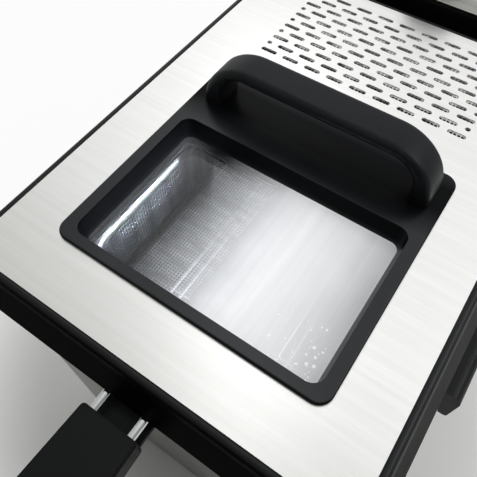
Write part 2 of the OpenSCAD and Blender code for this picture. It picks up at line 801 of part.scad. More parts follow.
module basket_rim() {
    placed() color("white") translate([0, basket_y, rim_z])
        swept_round(basket_w, basket_l, basket_corner_r)
            translate([-mesh_t / 2, rim_wire_d / 2 + 0.05]) circle(d = rim_wire_d, $fn = 32);
}

module basket_support_wires() {
    d = support_d;
    placed() color("white") {
        // Runners under the floor, and ties across them
        for (x = [-runner_x - runner_pair, -runner_x, 0, runner_x, runner_x + runner_pair])
            tube([x, basket_y + 14, basket_floor_z - d / 2 - 0.05],
                [x, basket_y + basket_l - 14, basket_floor_z - d / 2 - 0.05], d);
        for (share = [0.25, 0.5, 0.75])
            tube([-runner_x - runner_pair - 3, basket_y + basket_l * share, basket_floor_z - d - 0.9],
                [runner_x + runner_pair + 3, basket_y + basket_l * share, basket_floor_z - d - 0.9], d);
    }
}

// Plate on the basket's front wall with a socket for each handle wire
module handle_bracket() {
    socket_r = wire_d / 2 + run_gap + socket_wall;
    plate_y = basket_y + mesh_t / 2 + rim_wire_d / 2 + 0.1;
    placed() color("silver") difference() {
        union() {
            for (side = [-1, 1])
                translate([side * wire_pitch / 2, socket_y + socket_l, wire_z]) rotate([90, 0, 0])
                    cylinder(r = socket_r, h = socket_l);
            translate([-wire_pitch / 2 - 6, plate_y, rim_z - 24])
                cube([wire_pitch + 12, 1.6, wire_z - rim_z + 24]);
            translate([-wire_pitch / 2, plate_y, wire_z - socket_r]) cube([wire_pitch, socket_l - 6, 1.6]);
        }
        for (side = [-1, 1])
            translate([side * wire_pitch / 2, socket_y + socket_l + cut, wire_z]) rotate([90, 0, 0])
                cylinder(r = wire_d / 2 + run_gap, h = socket_l + 2 * cut);
    }
}

// ---------- basket handle ----------

module handle_wires() {
    bend_r = 5;
    half = wire_pitch / 2;
    placed() color("white") {
        for (side = [-1, 1])
            tube([side * half, wire_in, wire_z], [side * half, wire_end_y + bend_r, wire_z], wire_d);
        bend([half - bend_r, wire_end_y + bend_r, wire_z], [0, 0, -90], bend_r, wire_d);
        bend([-half + bend_r, wire_end_y + bend_r, wire_z], [0, 0, 180], bend_r, wire_d);
        tube([-half + bend_r, wire_end_y, wire_z], [half - bend_r, wire_end_y, wire_z], wire_d);
    }
}

// The grip's outline from above, from the body end (y = 0) to the far end
module grip_outline(inset) {
    r_in = 2;
    r_out = 12;
    hull() {
        for (side = [-1, 1]) {
            translate([side * (grip_w_in / 2 - inset - r_in), -r_in - inset]) circle(r = r_in, $fn = 32);
            translate([side * (grip_w_out / 2 - inset - r_out), -grip_l + r_out + inset]) circle(r = r_out, $fn = 32);
        }
    }
}

module grip_wire_space() {
    // Room for the bent end of the wires
    far = wire_end_y + grip_gap;
    gap = 0.1;
    half = wire_pitch / 2;
    for (side = [-1, 1])
        translate([side * half, cut, 0]) rotate([90, 0, 0])
            cylinder(d = wire_d + 2 * gap, h = cut - far + wire_d / 2, $fn = 32);
    translate([-half, far, 0]) rotate([0, 90, 0]) cylinder(d = wire_d + 2 * gap, h = wire_pitch, $fn = 32);
    for (side = [-1, 1])
        translate([side * (half - 2.5), far + 2.5, 0]) cube([5, 5, wire_d + 2 * gap], center = true);
}

module grip_screw_places() {
    for (y = grip_screw_y)
        translate([0, y, wire_z - grip_down + 4]) children();
}

module grip_upper() {
    placed() color("#1c1d1f") difference() {
        translate([0, -grip_gap, wire_z]) {
            linear_extrude(grip_up - 1.2) grip_outline(0);
            translate([0, 0, grip_up - 1.2]) linear_extrude(0.7) grip_outline(0.3);
            translate([0, 0, grip_up - 0.5]) linear_extrude(0.5) grip_outline(0.9);
        }
        translate([0, -grip_gap, wire_z]) grip_wire_space();
        grip_screw_places() screw_hole(1.5, grip_down - 4 + 2.4);
    }
}

// Tongue under the wires with a lip that leans on the body's front and keeps the handle level
module grip_rest() {
    half = grip_w_in / 2 - 1.5;
    reach = grip_gap + 4 - body_front - 2 * lift_gap;
    translate([-half, -4, grip_edge_r + 0.1]) cube([2 * half, reach, rest_t]);
    translate([-half, reach - 4 - rest_t, grip_edge_r + 0.1 - 2 * rest_t]) cube([2 * half, rest_t, 3 * rest_t]);
}

module grip_lower() {
    placed() color("#1c1d1f") difference() {
        translate([0, -grip_gap, wire_z - grip_down]) {
            hull() {
                translate([0, 0, grip_edge_r]) linear_extrude(grip_down - grip_edge_r - 0.05) grip_outline(0);
                linear_extrude(0.5) grip_outline(grip_edge_r);
            }
            grip_rest();
        }
        translate([0, -grip_gap, wire_z]) grip_wire_space();
        grip_screw_places() translate([0, 0, -10]) cylinder(r = 3.2, h = 10);
        grip_screw_places() translate([0, 0, -cut]) screw_hole(1.5, grip_down);
    }
}

module grip_screws() {
    placed() color("silver") grip_screw_places() screw(1.5, grip_down - 4 + 2, 2.9, 1.8);
}

// ---------- lid ----------

// Section of the rim: x outward from the panel's outline, y up from the panel's top
module rim_section() {
    gap = 0.4;
    crown_x = 1.6;
    lean = atan((rim_reach - crown_x - shoulder_r) / (rim_drop - shoulder_r));
    inner = plastic_t / cos(lean);
    polygon(concat(
        [[-rim_wall_in - plastic_t, -panel_t - 0.02], [gap, -panel_t - 0.02], [gap, -0.35]],
        arc(crown_x, -shoulder_r, shoulder_r, 100, lean),
        [[rim_reach, -rim_drop], [rim_reach - inner, -rim_drop],
            [crown_x, -panel_t - plastic_t], [-rim_wall_in, -panel_t - plastic_t],
            [-rim_wall_in, -rim_foot_drop], [-rim_wall_in - plastic_t, -rim_foot_drop]]));
}

module lid_rim() {
    notch_w = wire_pitch + wire_d + 4;
    bridge_notch_w = 2 * bridge_half + 3;
    placed() color("#1a1b1d") difference() {
        union() {
            translate([0, 0, panel_z]) rim_corner_swept();
            for (at = lid_screw_places)
                translate([at[0], at[1], panel_z - shell_top_drop]) {
                    cylinder(r = 3.4, h = shell_top_drop - panel_t - 0.02);
                    translate([at[0] > 0 ? 0 : -5, -3.4, 0]) cube([5, 6.8, shell_top_drop - panel_t - 0.02]);
                }
        }
        // Notches for the basket handle's wires and for the bridge
        translate([-notch_w / 2, 0, panel_z - rim_foot_drop - cut])
            cube([notch_w, 20, rim_foot_drop - notch_top_drop + cut]);
        translate([-bridge_notch_w / 2, panel_l - 20, panel_z - rim_foot_drop - cut])
            cube([bridge_notch_w, 40, rim_foot_drop + cut - (panel_z - bridge_high_z) + 1.5]);
        for (at = lid_screw_places)
            translate([at[0], at[1], panel_z - shell_top_drop - cut]) screw_hole(lid_screw_r, 10);
    }
}

// The rim's section reaches further in than the panel's corner radius, so its corners are mitred
module rim_corner_swept() {
    in = rim_wall_in + plastic_t;
    r = panel_corner_r;
    // Outer part turns round the panel's corner
    swept_round(panel_w, panel_l, r) intersection() {
        rim_section();
        translate([-r + 0.01, -100]) square([100, 200]);
    }
    // Standing wall and ledge inside it
    ledge_z = -panel_t - plastic_t;
    translate([0, 0, ledge_z]) linear_extrude(plastic_t - 0.02) difference() {
        translate([-panel_w / 2 + r / 2, r / 2]) square([panel_w - r, panel_l - r]);
        translate([-panel_w / 2 + in, in]) square([panel_w - 2 * in, panel_l - 2 * in]);
    }
    translate([0, 0, -rim_foot_drop]) linear_extrude(rim_foot_drop + ledge_z + 0.5) difference() {
        translate([-panel_w / 2 + rim_wall_in, rim_wall_in])
            square([panel_w - 2 * rim_wall_in, panel_l - 2 * rim_wall_in]);
        translate([-panel_w / 2 + in, in]) square([panel_w - 2 * in, panel_l - 2 * in]);
    }
}

module slot(length) {
    square([length - slot_w, slot_w], center = true);
    for (end = [-1, 1])
        translate([end * (length - slot_w) / 2, 0]) circle(d = slot_w, $fn = 24);
}

module vents() {
    for (row = [0:rows - 1])
        translate([0, first_row_y + row * row_pitch])
            if (row % 2 == 0)
                for (i = [0:slots_in_row - 1])
                    translate([(i - (slots_in_row - 1) / 2) * slot_pitch, 0]) slot(slot_l);
            else {
                for (i = [0:slots_in_row - 2])
                    translate([(i - (slots_in_row - 2) / 2) * slot_pitch, 0]) slot(slot_l);
                for (end = [-1, 1])
                    translate([end * (field_half - stub_l / 2), 0]) slot(stub_l);
            }
}

module lid_panel() {
    placed() color("gainsboro") translate([0, 0, panel_z - panel_t]) linear_extrude(panel_t) difference() {
        rounded_rect(panel_w, panel_l, panel_corner_r);
        translate([0, frame_y + frame_body_in - 0.2])
            rounded_rect(frame_w - 2 * frame_body_in + 0.4, frame_l - 2 * frame_body_in + 0.4,
                frame_corner_r - frame_body_in + 0.2);
        vents();
    }
}

// Plastic frame: raised flange on the panel, box through the panel, leaning well down to the glass
module window_frame() {
    edge = 1;
    body_low = shell_top_drop;
    glass_w = well_w + 2 * glass_rest;
    glass_l = well_l + 2 * glass_rest;
    glass_y = window_y + well_lean - glass_rest;
    rear_y = window_y + window_l + 5;
    rear_l = frame_y + frame_l - frame_body_in - 3 - rear_y;
    placed() color("#242629") translate([0, 0, panel_z]) difference() {
        union() {
            translate([0, frame_y, 0.02]) rounded_plate(frame_w, frame_l, frame_corner_r, frame_proud - edge - 0.02);
            translate([0, frame_y, frame_proud - edge])
                swept_round(frame_w, frame_l, frame_corner_r)
                    polygon(concat([[-frame_corner_r + 1, 0]], arc(-edge, 0, edge, 0, 90, 4),
                        [[-frame_corner_r + 1, edge]]));
            translate([0, frame_y + edge, frame_proud - edge])
                rounded_plate(frame_w - 2 * edge, frame_l - 2 * edge, frame_corner_r - edge, edge);
            translate([0, frame_y + frame_body_in, -body_low])
                rounded_plate(frame_w - 2 * frame_body_in, frame_l - 2 * frame_body_in,
                    frame_corner_r - frame_body_in, body_low + 0.1);
        }
        hull() {
            translate([0, window_y, frame_proud]) rounded_plate(window_w, window_l, 6.3, 0.01 + cut);
            translate([0, window_y + well_lean, -glass_depth]) rounded_plate(well_w, well_l, 4.5, 0.01);
        }
        translate([0, window_y + well_lean, -body_low - cut]) rounded_plate(well_w, well_l, 4.5, body_low + cut);
        translate([0, glass_y - 0.1, -body_low - cut])
            rounded_plate(glass_w + 0.2, glass_l + 0.2, 4, body_low + cut - glass_depth + 0.05);
        // Hollow under the handle
        translate([-frame_w / 2 + 14, rear_y, -body_low - cut]) cube([frame_w - 28, rear_l, body_low + cut - 1]);
        arch_screw_places() translate([0, 0, -100]) screw_hole(2, 110);
        arch_screw_places() translate([0, 0, -100]) cylinder(r = 4.5, h = 100 - 3);
    }
}

module arch_screw_places() {
    for (side = [-1, 1])
        translate([side * (arch_w / 2 - arch_leg / 2), arch_y + arch_l / 2, 0]) children();
}

module arch_outline(w, h, r) {
    // Upside-down U from z = 0 up to h
    intersection() {
        union() {
            translate([-w / 2, 0]) square([w, h - r]);
            translate([-w / 2 + r, 0]) square([w - 2 * r, h]);
            for (side = [-1, 1])
                translate([side * (w / 2 - r), h - r]) circle(r = r);
        }
        translate([-w / 2, 0]) square([w, h]);
    }
}

module lid_handle() {
    inner_w = arch_w - 2 * arch_leg;
    placed() color("#242629") difference() {
        translate([0, arch_y + arch_l, panel_z + frame_proud + 0.02]) rotate([90, 0, 0])
            linear_extrude(arch_l) difference() {
                arch_outline(arch_w, arch_h, arch_h - 0.1);
                translate([0, -cut]) arch_outline(inner_w, arch_h - arch_t + cut, 15.2);
            }
        translate([0, 0, panel_z]) arch_screw_places() screw_hole(2, 10);
    }
}

module lid_handle_screws() {
    placed() color("silver") translate([0, 0, panel_z - 3]) arch_screw_places() screw(2, 11, 4, 2.4);
}

module window_glass() {
    placed() color([0.8, 0.86, 0.88, 0.35]) translate([0, window_y + well_lean - glass_rest,
        panel_z - glass_depth - glass_t])
        rounded_plate(well_w + 2 * glass_rest, well_l + 2 * glass_rest, 4, glass_t);
}

module window_gasket() {
    placed() color("#303030") translate([0, window_y + well_lean, panel_z - shell_top_drop + 0.1]) difference() {
        translate([0, -glass_rest]) rounded_plate(well_w + 2 * glass_rest, well_l + 2 * glass_rest, 4, 1.8);
        translate([0, 0, -cut]) rounded_plate(well_w, well_l, 4.5, 2 + 2 * cut);
    }
}

module filter_mesh() {
    placed() color("silver")
        translate([-filter_w / 2, filter_y, panel_z - filter_drop - filter_t])
            cube([filter_w, filter_l, filter_t]);
}

module filter_holder() {
    high = shell_top_drop - filter_drop - filter_t - 0.1;
    placed() color("#26282a") translate([0, filter_y, panel_z - shell_top_drop]) difference() {
        translate([-filter_w / 2, 0, 0]) cube([filter_w, filter_l, high]);
        translate([-filter_w / 2 + filter_wall, filter_wall, -cut])
            cube([filter_w - 2 * filter_wall, filter_l - 2 * filter_wall, high + 2 * cut]);
    }
}

module lid_inner_shell() {
    in = rim_wall_in + plastic_t + 0.3;
    placed() color("gainsboro") translate([0, 0, panel_z - shell_top_drop - panel_t - 0.02]) difference() {
        linear_extrude(panel_t) difference() {
            translate([-panel_w / 2 + in, in]) square([panel_w - 2 * in, panel_l - 2 * in]);
            translate([0, window_y + well_lean + 1]) rounded_rect(well_w - 2, well_l - 2, 4);
            translate([-filter_w / 2 + filter_wall, filter_y + filter_wall])
                square([filter_w - 2 * filter_wall, filter_l - 2 * filter_wall]);
        }
        for (at = lid_screw_places)
            translate([at[0], at[1], -cut]) screw_hole(lid_screw_r, panel_t + 2 * cut);
    }
}

module lid_screws() {
    placed() color("silver") for (at = lid_screw_places)
        translate([at[0], at[1], panel_z - shell_top_drop - panel_t - 0.05]) screw(lid_screw_r, 8, 2.8, 1.6);
}

outer_housing();
base_tray();
rubber_feet();
foot_screws();
carry_handle_left();
carry_handle_right();
carry_handle_screws();
rear_guide();
oil_pan();
control_housing();
control_back_cover();
control_fascia();
bridge_cover();
cover_screws();
heating_element();
element_bracket();
thermostat();
sensor_bulb();
thermal_cutout();
safety_microswitch();
terminal_block();
pilot_lamps();
power_lens();
ready_lens();
cord_gland();
thermostat_spindle();
thermostat_knob();
reset_button();
reset_spring();
basket_mesh();
basket_rim();
basket_support_wires();
handle_bracket();
handle_wires();
grip_upper();
grip_lower();
grip_screws();
lid_rim();
lid_panel();
window_frame();
lid_handle();
lid_handle_screws();
window_glass();
window_gasket();
filter_mesh();
filter_holder();
lid_inner_shell();
lid_screws();
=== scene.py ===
# %% [markdown]
# # A deep fryer with a window in its lid
# The machine is a steel box with a lift-out pan, a mesh basket on a pull-out handle, a control
# unit that hangs on the back, and a vented steel lid with a plastic rim, a window and a handle.
# The solid parts come ready made from the frame. This lesson gives them their finish, and makes
# the pieces whose look needs finer work: woven wire, a rolled hem, a moulded handle, drops, a dial.

# %% Load the frame
import math
import random
import bpy
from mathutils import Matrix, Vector


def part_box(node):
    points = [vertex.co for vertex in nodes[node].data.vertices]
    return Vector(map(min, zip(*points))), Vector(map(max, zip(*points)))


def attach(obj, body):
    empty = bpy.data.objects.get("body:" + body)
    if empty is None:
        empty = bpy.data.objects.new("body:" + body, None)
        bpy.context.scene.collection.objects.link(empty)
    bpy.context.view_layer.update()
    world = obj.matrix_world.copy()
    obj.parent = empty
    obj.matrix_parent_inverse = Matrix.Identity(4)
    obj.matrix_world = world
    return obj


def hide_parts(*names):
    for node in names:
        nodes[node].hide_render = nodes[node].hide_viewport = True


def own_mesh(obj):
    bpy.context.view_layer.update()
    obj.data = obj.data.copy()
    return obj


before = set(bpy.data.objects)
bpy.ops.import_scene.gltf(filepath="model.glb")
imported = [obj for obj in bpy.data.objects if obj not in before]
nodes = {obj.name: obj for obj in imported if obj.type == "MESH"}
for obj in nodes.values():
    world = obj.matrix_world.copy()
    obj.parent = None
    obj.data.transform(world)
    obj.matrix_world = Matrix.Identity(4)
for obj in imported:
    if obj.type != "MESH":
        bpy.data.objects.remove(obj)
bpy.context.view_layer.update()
MM = 0.001
WHITE = (1, 1, 1, 1)

# %% [markdown]
# ## The camera
# The eye is close above the front right corner, and looks down and back to the left, so that
# the lid fills the view and its lines run together strongly. A lens of 39 mm on a 36 mm sensor
# gives that strong perspective. The eye's place is in mm. The angles are pitch, a trace of roll,
# and heading.

# %% Camera
eye_place = (72.13, -138.07, 469.32)
pitch, roll, heading = 31.592, -0.117, 34.424
camera_data = bpy.data.cameras.new("camera")
camera_data.sensor_width = 36
camera_data.lens = 39.413
camera_data.clip_start = 0.01
camera = bpy.data.objects.new("camera", camera_data)
camera.location = Vector(eye_place) * MM
camera.rotation_euler = [math.radians(a) for a in (pitch, roll, heading)]
bpy.context.scene.collection.objects.link(camera)
bpy.context.scene.camera = camera
bpy.context.scene.view_settings.view_transform = "Standard"

# %% [markdown]
# ## Helpers for materials and pieces
# A material is a small tree of nodes. One function turns the hex colours that people write
# into the linear numbers that the renderer works with, and one adds a node with its settings.
# A piece is a mesh made here, in machine coordinates. It rides on the body it belongs to. Most
# pieces are tubes, which are rows of rings, so one function joins a ring of points to the next.

# %% Colour, node and piece helpers
def linear(code, alpha=1.0):
    """#rrggbb in sRGB to a linear RGBA tuple."""
    parts = [int(code[i:i + 2], 16) / 255 for i in (1, 3, 5)]
    rgb = [c / 12.92 if c <= 0.04045 else ((c + 0.055) / 1.055) ** 2.4 for c in parts]
    return (*rgb, alpha)


def add(tree, kind, inputs=None, **settings):
    """Adds a node. inputs maps a socket's name or number to its value, or to what feeds it."""
    node = tree.nodes.new("ShaderNode" + kind)
    for name, value in settings.items():
        setattr(node, name, value)
    for key, value in (inputs or {}).items():
        if isinstance(value, bpy.types.NodeSocket):
            tree.links.new(value, node.inputs[key])
        else:
            node.inputs[key].default_value = value
    return node


def scale(tree, length, *stops):
    """Tone along a length: stops are (mm, grey or #rrggbb) pairs from low to high."""
    low, high = stops[0][0], stops[-1][0]
    share = add(tree, "MapRange", {"Value": length, "From Min": low * MM, "From Max": high * MM})
    tones = add(tree, "ValToRGB", {0: share.outputs[0]})
    ramp = tones.color_ramp.elements
    for at, tone in stops:
        if at in (low, high):
            stop = ramp[0] if at == low else ramp[-1]
        else:
            stop = ramp.new((at - low) / (high - low))
        stop.color = linear(tone) if isinstance(tone, str) else (tone, tone, tone, 1)
    return tones.outputs["Color"]


def new_material(name):
    """A material with an empty tree and its output."""
    material = bpy.data.materials.new(name)
    material.use_nodes = True
    tree = material.node_tree
    tree.nodes.clear()
    return material, tree, tree.nodes.new("ShaderNodeOutputMaterial")


def dress(material, *names):
    """Gives CAD nodes a material."""
    for name in names:
        mesh = nodes[name].data
        mesh.materials.clear()
        mesh.materials.append(material)
    print(material.name, "on", len(names), "parts")


def box_mm(name):
    """The low and the high corner of a CAD node, in mm."""
    return [Vector(corner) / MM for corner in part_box(name)]


def band(first, second, count):
    """Faces between two rings of count points, from the number of each ring's first point."""
    return [(first + k, first + (k + 1) % count, second + (k + 1) % count, second + k)
        for k in range(count)]


def piece(name, points, faces, material, body, smooth=True):
    """A mesh piece from points in mm, with smooth shading, riding on a body."""
    mesh = bpy.data.meshes.new(name)
    mesh.from_pydata([Vector(p) * MM for p in points], [], faces)
    mesh.materials.append(material)
    if smooth:
        mesh.shade_smooth()
    obj = bpy.data.objects.new(name, mesh)
    bpy.context.scene.collection.objects.link(obj)
    if body:
        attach(obj, body)
    return obj


def soften(width_mm, *names):
    """Rounds the sharp edges of CAD nodes as a mould or a press would, by a bevel modifier."""
    for name in names:
        bevel = nodes[name].modifiers.new("soft edges", "BEVEL")
        bevel.width = width_mm * MM
        bevel.segments = 3
        bevel.limit_method = "ANGLE"
        bevel.angle_limit = math.radians(40)
        bevel.harden_normals = False


# %% [markdown]
# ## The room
# A pale sweep and soft light from all round, as for a catalogue. Steel shows what stands round it,
# so the room is the main light: nearly white behind the machine, and darker and a little greener at
# the front, which shades the lid towards the viewer. To the right the room falls to a third, so
# that the plastic facing that way stays black. The camera itself sees plain white.

# %% World
world = bpy.data.worlds.new("studio")
bpy.context.scene.world = world
world.use_nodes = True
tree = world.node_tree
tree.nodes.clear()
front_wall, back_wall, right_share = linear("#b4b6b1"), linear("#f8f8f8"), 0.35
back_way = (0.12, 1.0, 0.0)
way = add(tree, "TexCoord").outputs["Generated"]
back = add(tree, "VectorMath", {0: way, 1: back_way}, operation="DOT_PRODUCT").outputs["Value"]
shade = add(tree, "MapRange", {"Value": back, "From Min": -0.10, "From Max": 0.42},
    interpolation_type="SMOOTHSTEP")
room = add(tree, "Mix", {0: shade.outputs[0], 6: front_wall, 7: back_wall}, data_type="RGBA")
eye = add(tree, "LightPath").outputs["Is Camera Ray"]
right = add(tree, "SeparateXYZ", {0: way}).outputs["X"]
dim = add(tree, "MapRange", {"Value": right, "From Min": 0.25, "From Max": 0.75,
    "To Min": 1.0, "To Max": right_share}, interpolation_type="SMOOTHSTEP")
dimmed = add(tree, "VectorMath", {0: room.outputs[2], "Scale": dim.outputs[0]}, operation="SCALE")
seen = add(tree, "Mix", {0: eye, 6: dimmed.outputs[0], 7: WHITE}, data_type="RGBA")
sky = add(tree, "Background", {"Color": seen.outputs[2], "Strength": 1.0})
tree.links.new(sky.outputs[0], tree.nodes.new("ShaderNodeOutputWorld").inputs[0])

# %% [markdown]
# ## The floor
# A sheet of white paper, four metres across. Matt paper alone comes out grey round the machine, so
# away from the machine the camera sees it lit through to near white, as a lit table top gives. The
# change runs from 0.18 m to 0.34 m from the middle, and the paper's own shadow stays near the feet.

# %% Floor
white_paper, tree, out = new_material("white paper sweep")
shadow_edge, lit_edge, lit_share = 0.18, 0.34, 0.93
paper = add(tree, "BsdfDiffuse", {"Color": linear("#f6f6f5")})
glow = add(tree, "Emission", {"Color": WHITE, "Strength": 1.0})
place = add(tree, "TexCoord").outputs["Object"]
away = add(tree, "VectorMath", {0: place}, operation="LENGTH").outputs["Value"]
pale = add(tree, "MapRange", {"Value": away, "From Min": shadow_edge, "From Max": lit_edge,
    "To Max": lit_share}, interpolation_type="SMOOTHSTEP")
eye = add(tree, "LightPath").outputs["Is Camera Ray"]
part = add(tree, "Math", {0: eye, 1: pale.outputs[0]}, operation="MULTIPLY")
both = add(tree, "MixShader", {0: part.outputs[0], 1: paper.outputs[0], 2: glow.outputs[0]})
tree.links.new(both.outputs[0], out.inputs["Surface"])
far = 2000
floor = piece("floor", [(-far, -far, 0), (far, -far, 0), (far, far, 0), (-far, far, 0)],
    [(0, 1, 2, 3)], white_paper, body=None, smooth=False)
print("floor", 2 * far * MM, "m wide")

# %% [markdown]
# ## The lamps
# Four area lamps. A long strip over the lid from back to front gives the broad bright streak in the
# brushing. A larger softbox at the right lights the handle and the wires from their right side. Two
# lamps carry a grid, which narrows a lamp's beam to a few degrees so that it lights one thing: one
# strikes the basket's hem through the window, the other the steam on the glass. A grid lets little
# light out, so those two need only hundredths of a watt here. Places and sizes are in metres.

# %% Lamps
def softbox(name, place, aim, wide, long, watts, fan=180):
    """An area lamp. fan is the angle in degrees that its light spreads over."""
    data = bpy.data.lights.new(name, "AREA")
    data.spread = math.radians(fan)
    data.shape = "RECTANGLE"
    data.size, data.size_y, data.energy = wide, long, watts
    lamp = bpy.data.objects.new(name, data)
    lamp.location = place
    lamp.rotation_euler = (Vector(aim) - lamp.location).to_track_quat("-Z", "Y").to_euler()
    bpy.context.scene.collection.objects.link(lamp)


softbox("strip softbox overhead", (-0.28, 0.45, 1.32), aim=(0.0, -0.03, 0.25),
    wide=0.26, long=1.1, watts=0.9)
softbox("softbox at the right", (0.9, 0.45, 1.15), aim=(-0.05, -0.03, 0.23),
    wide=0.6, long=0.5, watts=5.0)
softbox("gridded lamp for the basket's rim", (0.308, -0.03, 0.685), aim=(-0.076, -0.03, 0.223),
    wide=0.10, long=0.012, watts=0.014, fan=3)
softbox("gridded softbox over the window", (0.38, -0.03, 0.752), aim=(-0.04, -0.03, 0.252),
    wide=0.09, long=0.07, watts=0.034, fan=7)
print("lamps", len(bpy.data.lights))

# %% [markdown]
# ## The black card
# A black card stands upright in front of the machine. Shiny things show it, and so the front edges
# of the rim and the wires turn black and crisp. It is covered in velour, whose pile shows as a faint
# mottle, and it is hidden from the camera.

# %% Black card
card_black, tree, out = new_material("black velour card")
pile = add(tree, "TexNoise", {"Scale": 900.0, "Detail": 2.0})
nap = add(tree, "Mix", {0: pile.outputs["Fac"], 6: linear("#050505"), 7: linear("#0c0c0c")},
    data_type="RGBA")
velour = add(tree, "BsdfDiffuse", {"Color": nap.outputs[2]})
tree.links.new(velour.outputs[0], out.inputs["Surface"])
left, right, front, top = -450, 650, -360, 450
card = piece("card", [(left, front, 0), (right, front, 0), (right, front, top), (left, front, top)],
    [(0, 1, 2, 3)], card_black, body=None, smooth=False)
card.visible_camera = False
print("card", right - left, "mm wide")

# %% [markdown]
# ## Brushed stainless
# Sheet of 18/10 stainless, brushed with a fine belt across the machine: thousands of scratches
# all one way. They smear each reflection across the scratches. Noise stretched eighty times along
# X gives the scratches; it moves the roughness, tints the colour a little and drives a small
# bump. Scratches are about 0.1 mm apart; here they are 0.4 mm so that they show. Broader bands
# lie over them, 2.7 mm wide, where the belt bit deeper. The lid is ground finer; its near-white
# colour, brighter than bare steel, is painted light. The body is a little rougher; its darker
# colour is painted shade, and its highlight is drawn out across the scratches.

# %% Brushed stainless
scratch_mm = 0.4


def brushed(name, colour, streak, roughness, spread=0.0):
    """Steel with scratches along X. spread is how far they draw a highlight out."""
    material, tree, out = new_material(name)
    place = add(tree, "TexCoord").outputs["Object"]
    fine = 1 / (scratch_mm * MM)
    along = add(tree, "Mapping", {"Vector": place, "Scale": (fine * 0.012, fine, fine)})
    grain = add(tree, "TexNoise", {"Vector": along.outputs[0], "Scale": 1.0, "Detail": 3.0,
        "Roughness": 0.6})
    wide = add(tree, "Mapping", {"Vector": place, "Scale": (fine * 0.004, fine * 0.15, fine * 0.15)})
    bands = add(tree, "TexNoise", {"Vector": wide.outputs[0], "Scale": 1.0, "Detail": 2.0})
    mixed = add(tree, "Math", {0: grain.outputs["Fac"], 1: bands.outputs["Fac"]},
        operation="MULTIPLY")
    level = add(tree, "MapRange", {"Value": mixed.outputs[0], "From Min": 0.12, "From Max": 0.40})
    tint = add(tree, "Mix", {0: level.outputs[0], 6: linear(streak), 7: linear(colour)},
        data_type="RGBA")
    rough = add(tree, "MapRange", {"Value": grain.outputs["Fac"],
        "To Min": roughness - 0.05, "To Max": roughness + 0.06})
    relief = add(tree, "Bump", {"Strength": 0.04, "Distance": 0.0004,
        "Height": grain.outputs["Fac"]})
    steel = add(tree, "BsdfPrincipled", {"Base Color": tint.outputs[2], "Metallic": 1.0,
        "Roughness": rough.outputs[0], "Normal": relief.outputs[0],
        "Anisotropic": spread, "Tangent": (1.0, 0.0, 0.0)})
    tree.links.new(steel.outputs[0], out.inputs["Surface"])
    return material


# Painted light: the lid's near-white colour. Painted shade: the body's darker colour.
lid_steel = brushed("brushed stainless, lid", "#f8f8f7", "#efefed", 0.32)
body_steel = brushed("brushed stainless, body", "#a3a49f", "#8e8f8b", 0.36, spread=0.6)
dress(lid_steel, "lid_panel")
dress(body_steel, "outer_housing", "bridge_cover", "control_fascia")

# %% [markdown]
# ## Moulded plastics
# Four kinds. The window's frame and the lid's handle are charcoal ABS with a satin face, the rim
# and the other housings black polypropylene, which is duller, the feet and seals are rubber, and
# the parts that carry current are ivory phenolic. The first three are nearly black, so what shows
# is the sheen: a refractive index near 1.5, a roughness near 0.4, and a fine spark-eroded grain,
# drawn at 0.35 mm, a little coarser than the real 0.15 mm.
# Faces of one moulding are given different sheens, painted by height and on the frame also by
# depth from front to back. Painted shade keeps the rim's skirt black and the well round the glass
# dull, a painted dark line edges the frame's top, a painted highlight lies at the well's foot by
# the glass, and painted shade darkens the frame under the handle. The rim's top bead and the
# frame's flat top keep a full sheen. Clouds of about 25 mm move the roughness, as handling does.

# %% Moulded plastics
def moulded(name, colour, roughness, specular=0.5, grain_mm=0.35, painted_sheen_by_height=(), painted_shade_by_depth=()):
    """painted_sheen_by_height: (height in mm, specular) pairs, painted_shade_by_depth: (y in mm,
    factor) pairs; both paint light and shade into the sheen.
    """
    material, tree, out = new_material(name)
    cloud_mm = 25
    place = add(tree, "TexCoord").outputs["Object"]
    cells = add(tree, "TexVoronoi", {"Vector": place, "Scale": 1 / (grain_mm * MM)})
    cloud = add(tree, "TexNoise", {"Vector": place, "Scale": 1 / (cloud_mm * MM), "Detail": 3.0})
    rough = add(tree, "MapRange", {"Value": cloud.outputs["Fac"],
        "To Min": roughness - 0.04, "To Max": roughness + 0.06})
    tone = add(tree, "MixRGB", {"Fac": 0.12, "Color1": linear(colour),
        "Color2": cells.outputs["Color"]}, blend_type="SOFT_LIGHT")
    bump = add(tree, "Bump", {"Strength": 0.10, "Distance": 0.00005,
        "Height": cells.outputs["Distance"]})
    plastic = add(tree, "BsdfPrincipled", {"Base Color": tone.outputs[0],
        "Roughness": rough.outputs[0], "Normal": bump.outputs[0],
        "Specular IOR Level": specular, "Specular Tint": (0.94, 0.97, 1.0, 1.0)})
    # Painted light and shade: the specular follows the height, and on the frame the depth too.
    if painted_sheen_by_height:
        split = add(tree, "SeparateXYZ", {0: place})
        sheen = scale(tree, split.outputs["Z"], *painted_sheen_by_height)
        if painted_shade_by_depth:
            depth_shade = scale(tree, split.outputs["Y"], *painted_shade_by_depth)
            sheen = add(tree, "Math", {0: sheen, 1: depth_shade}, operation="MULTIPLY").outputs[0]
        tree.links.new(sheen, plastic.inputs["Specular IOR Level"])
    tree.links.new(plastic.outputs[0], out.inputs["Surface"])
    return material
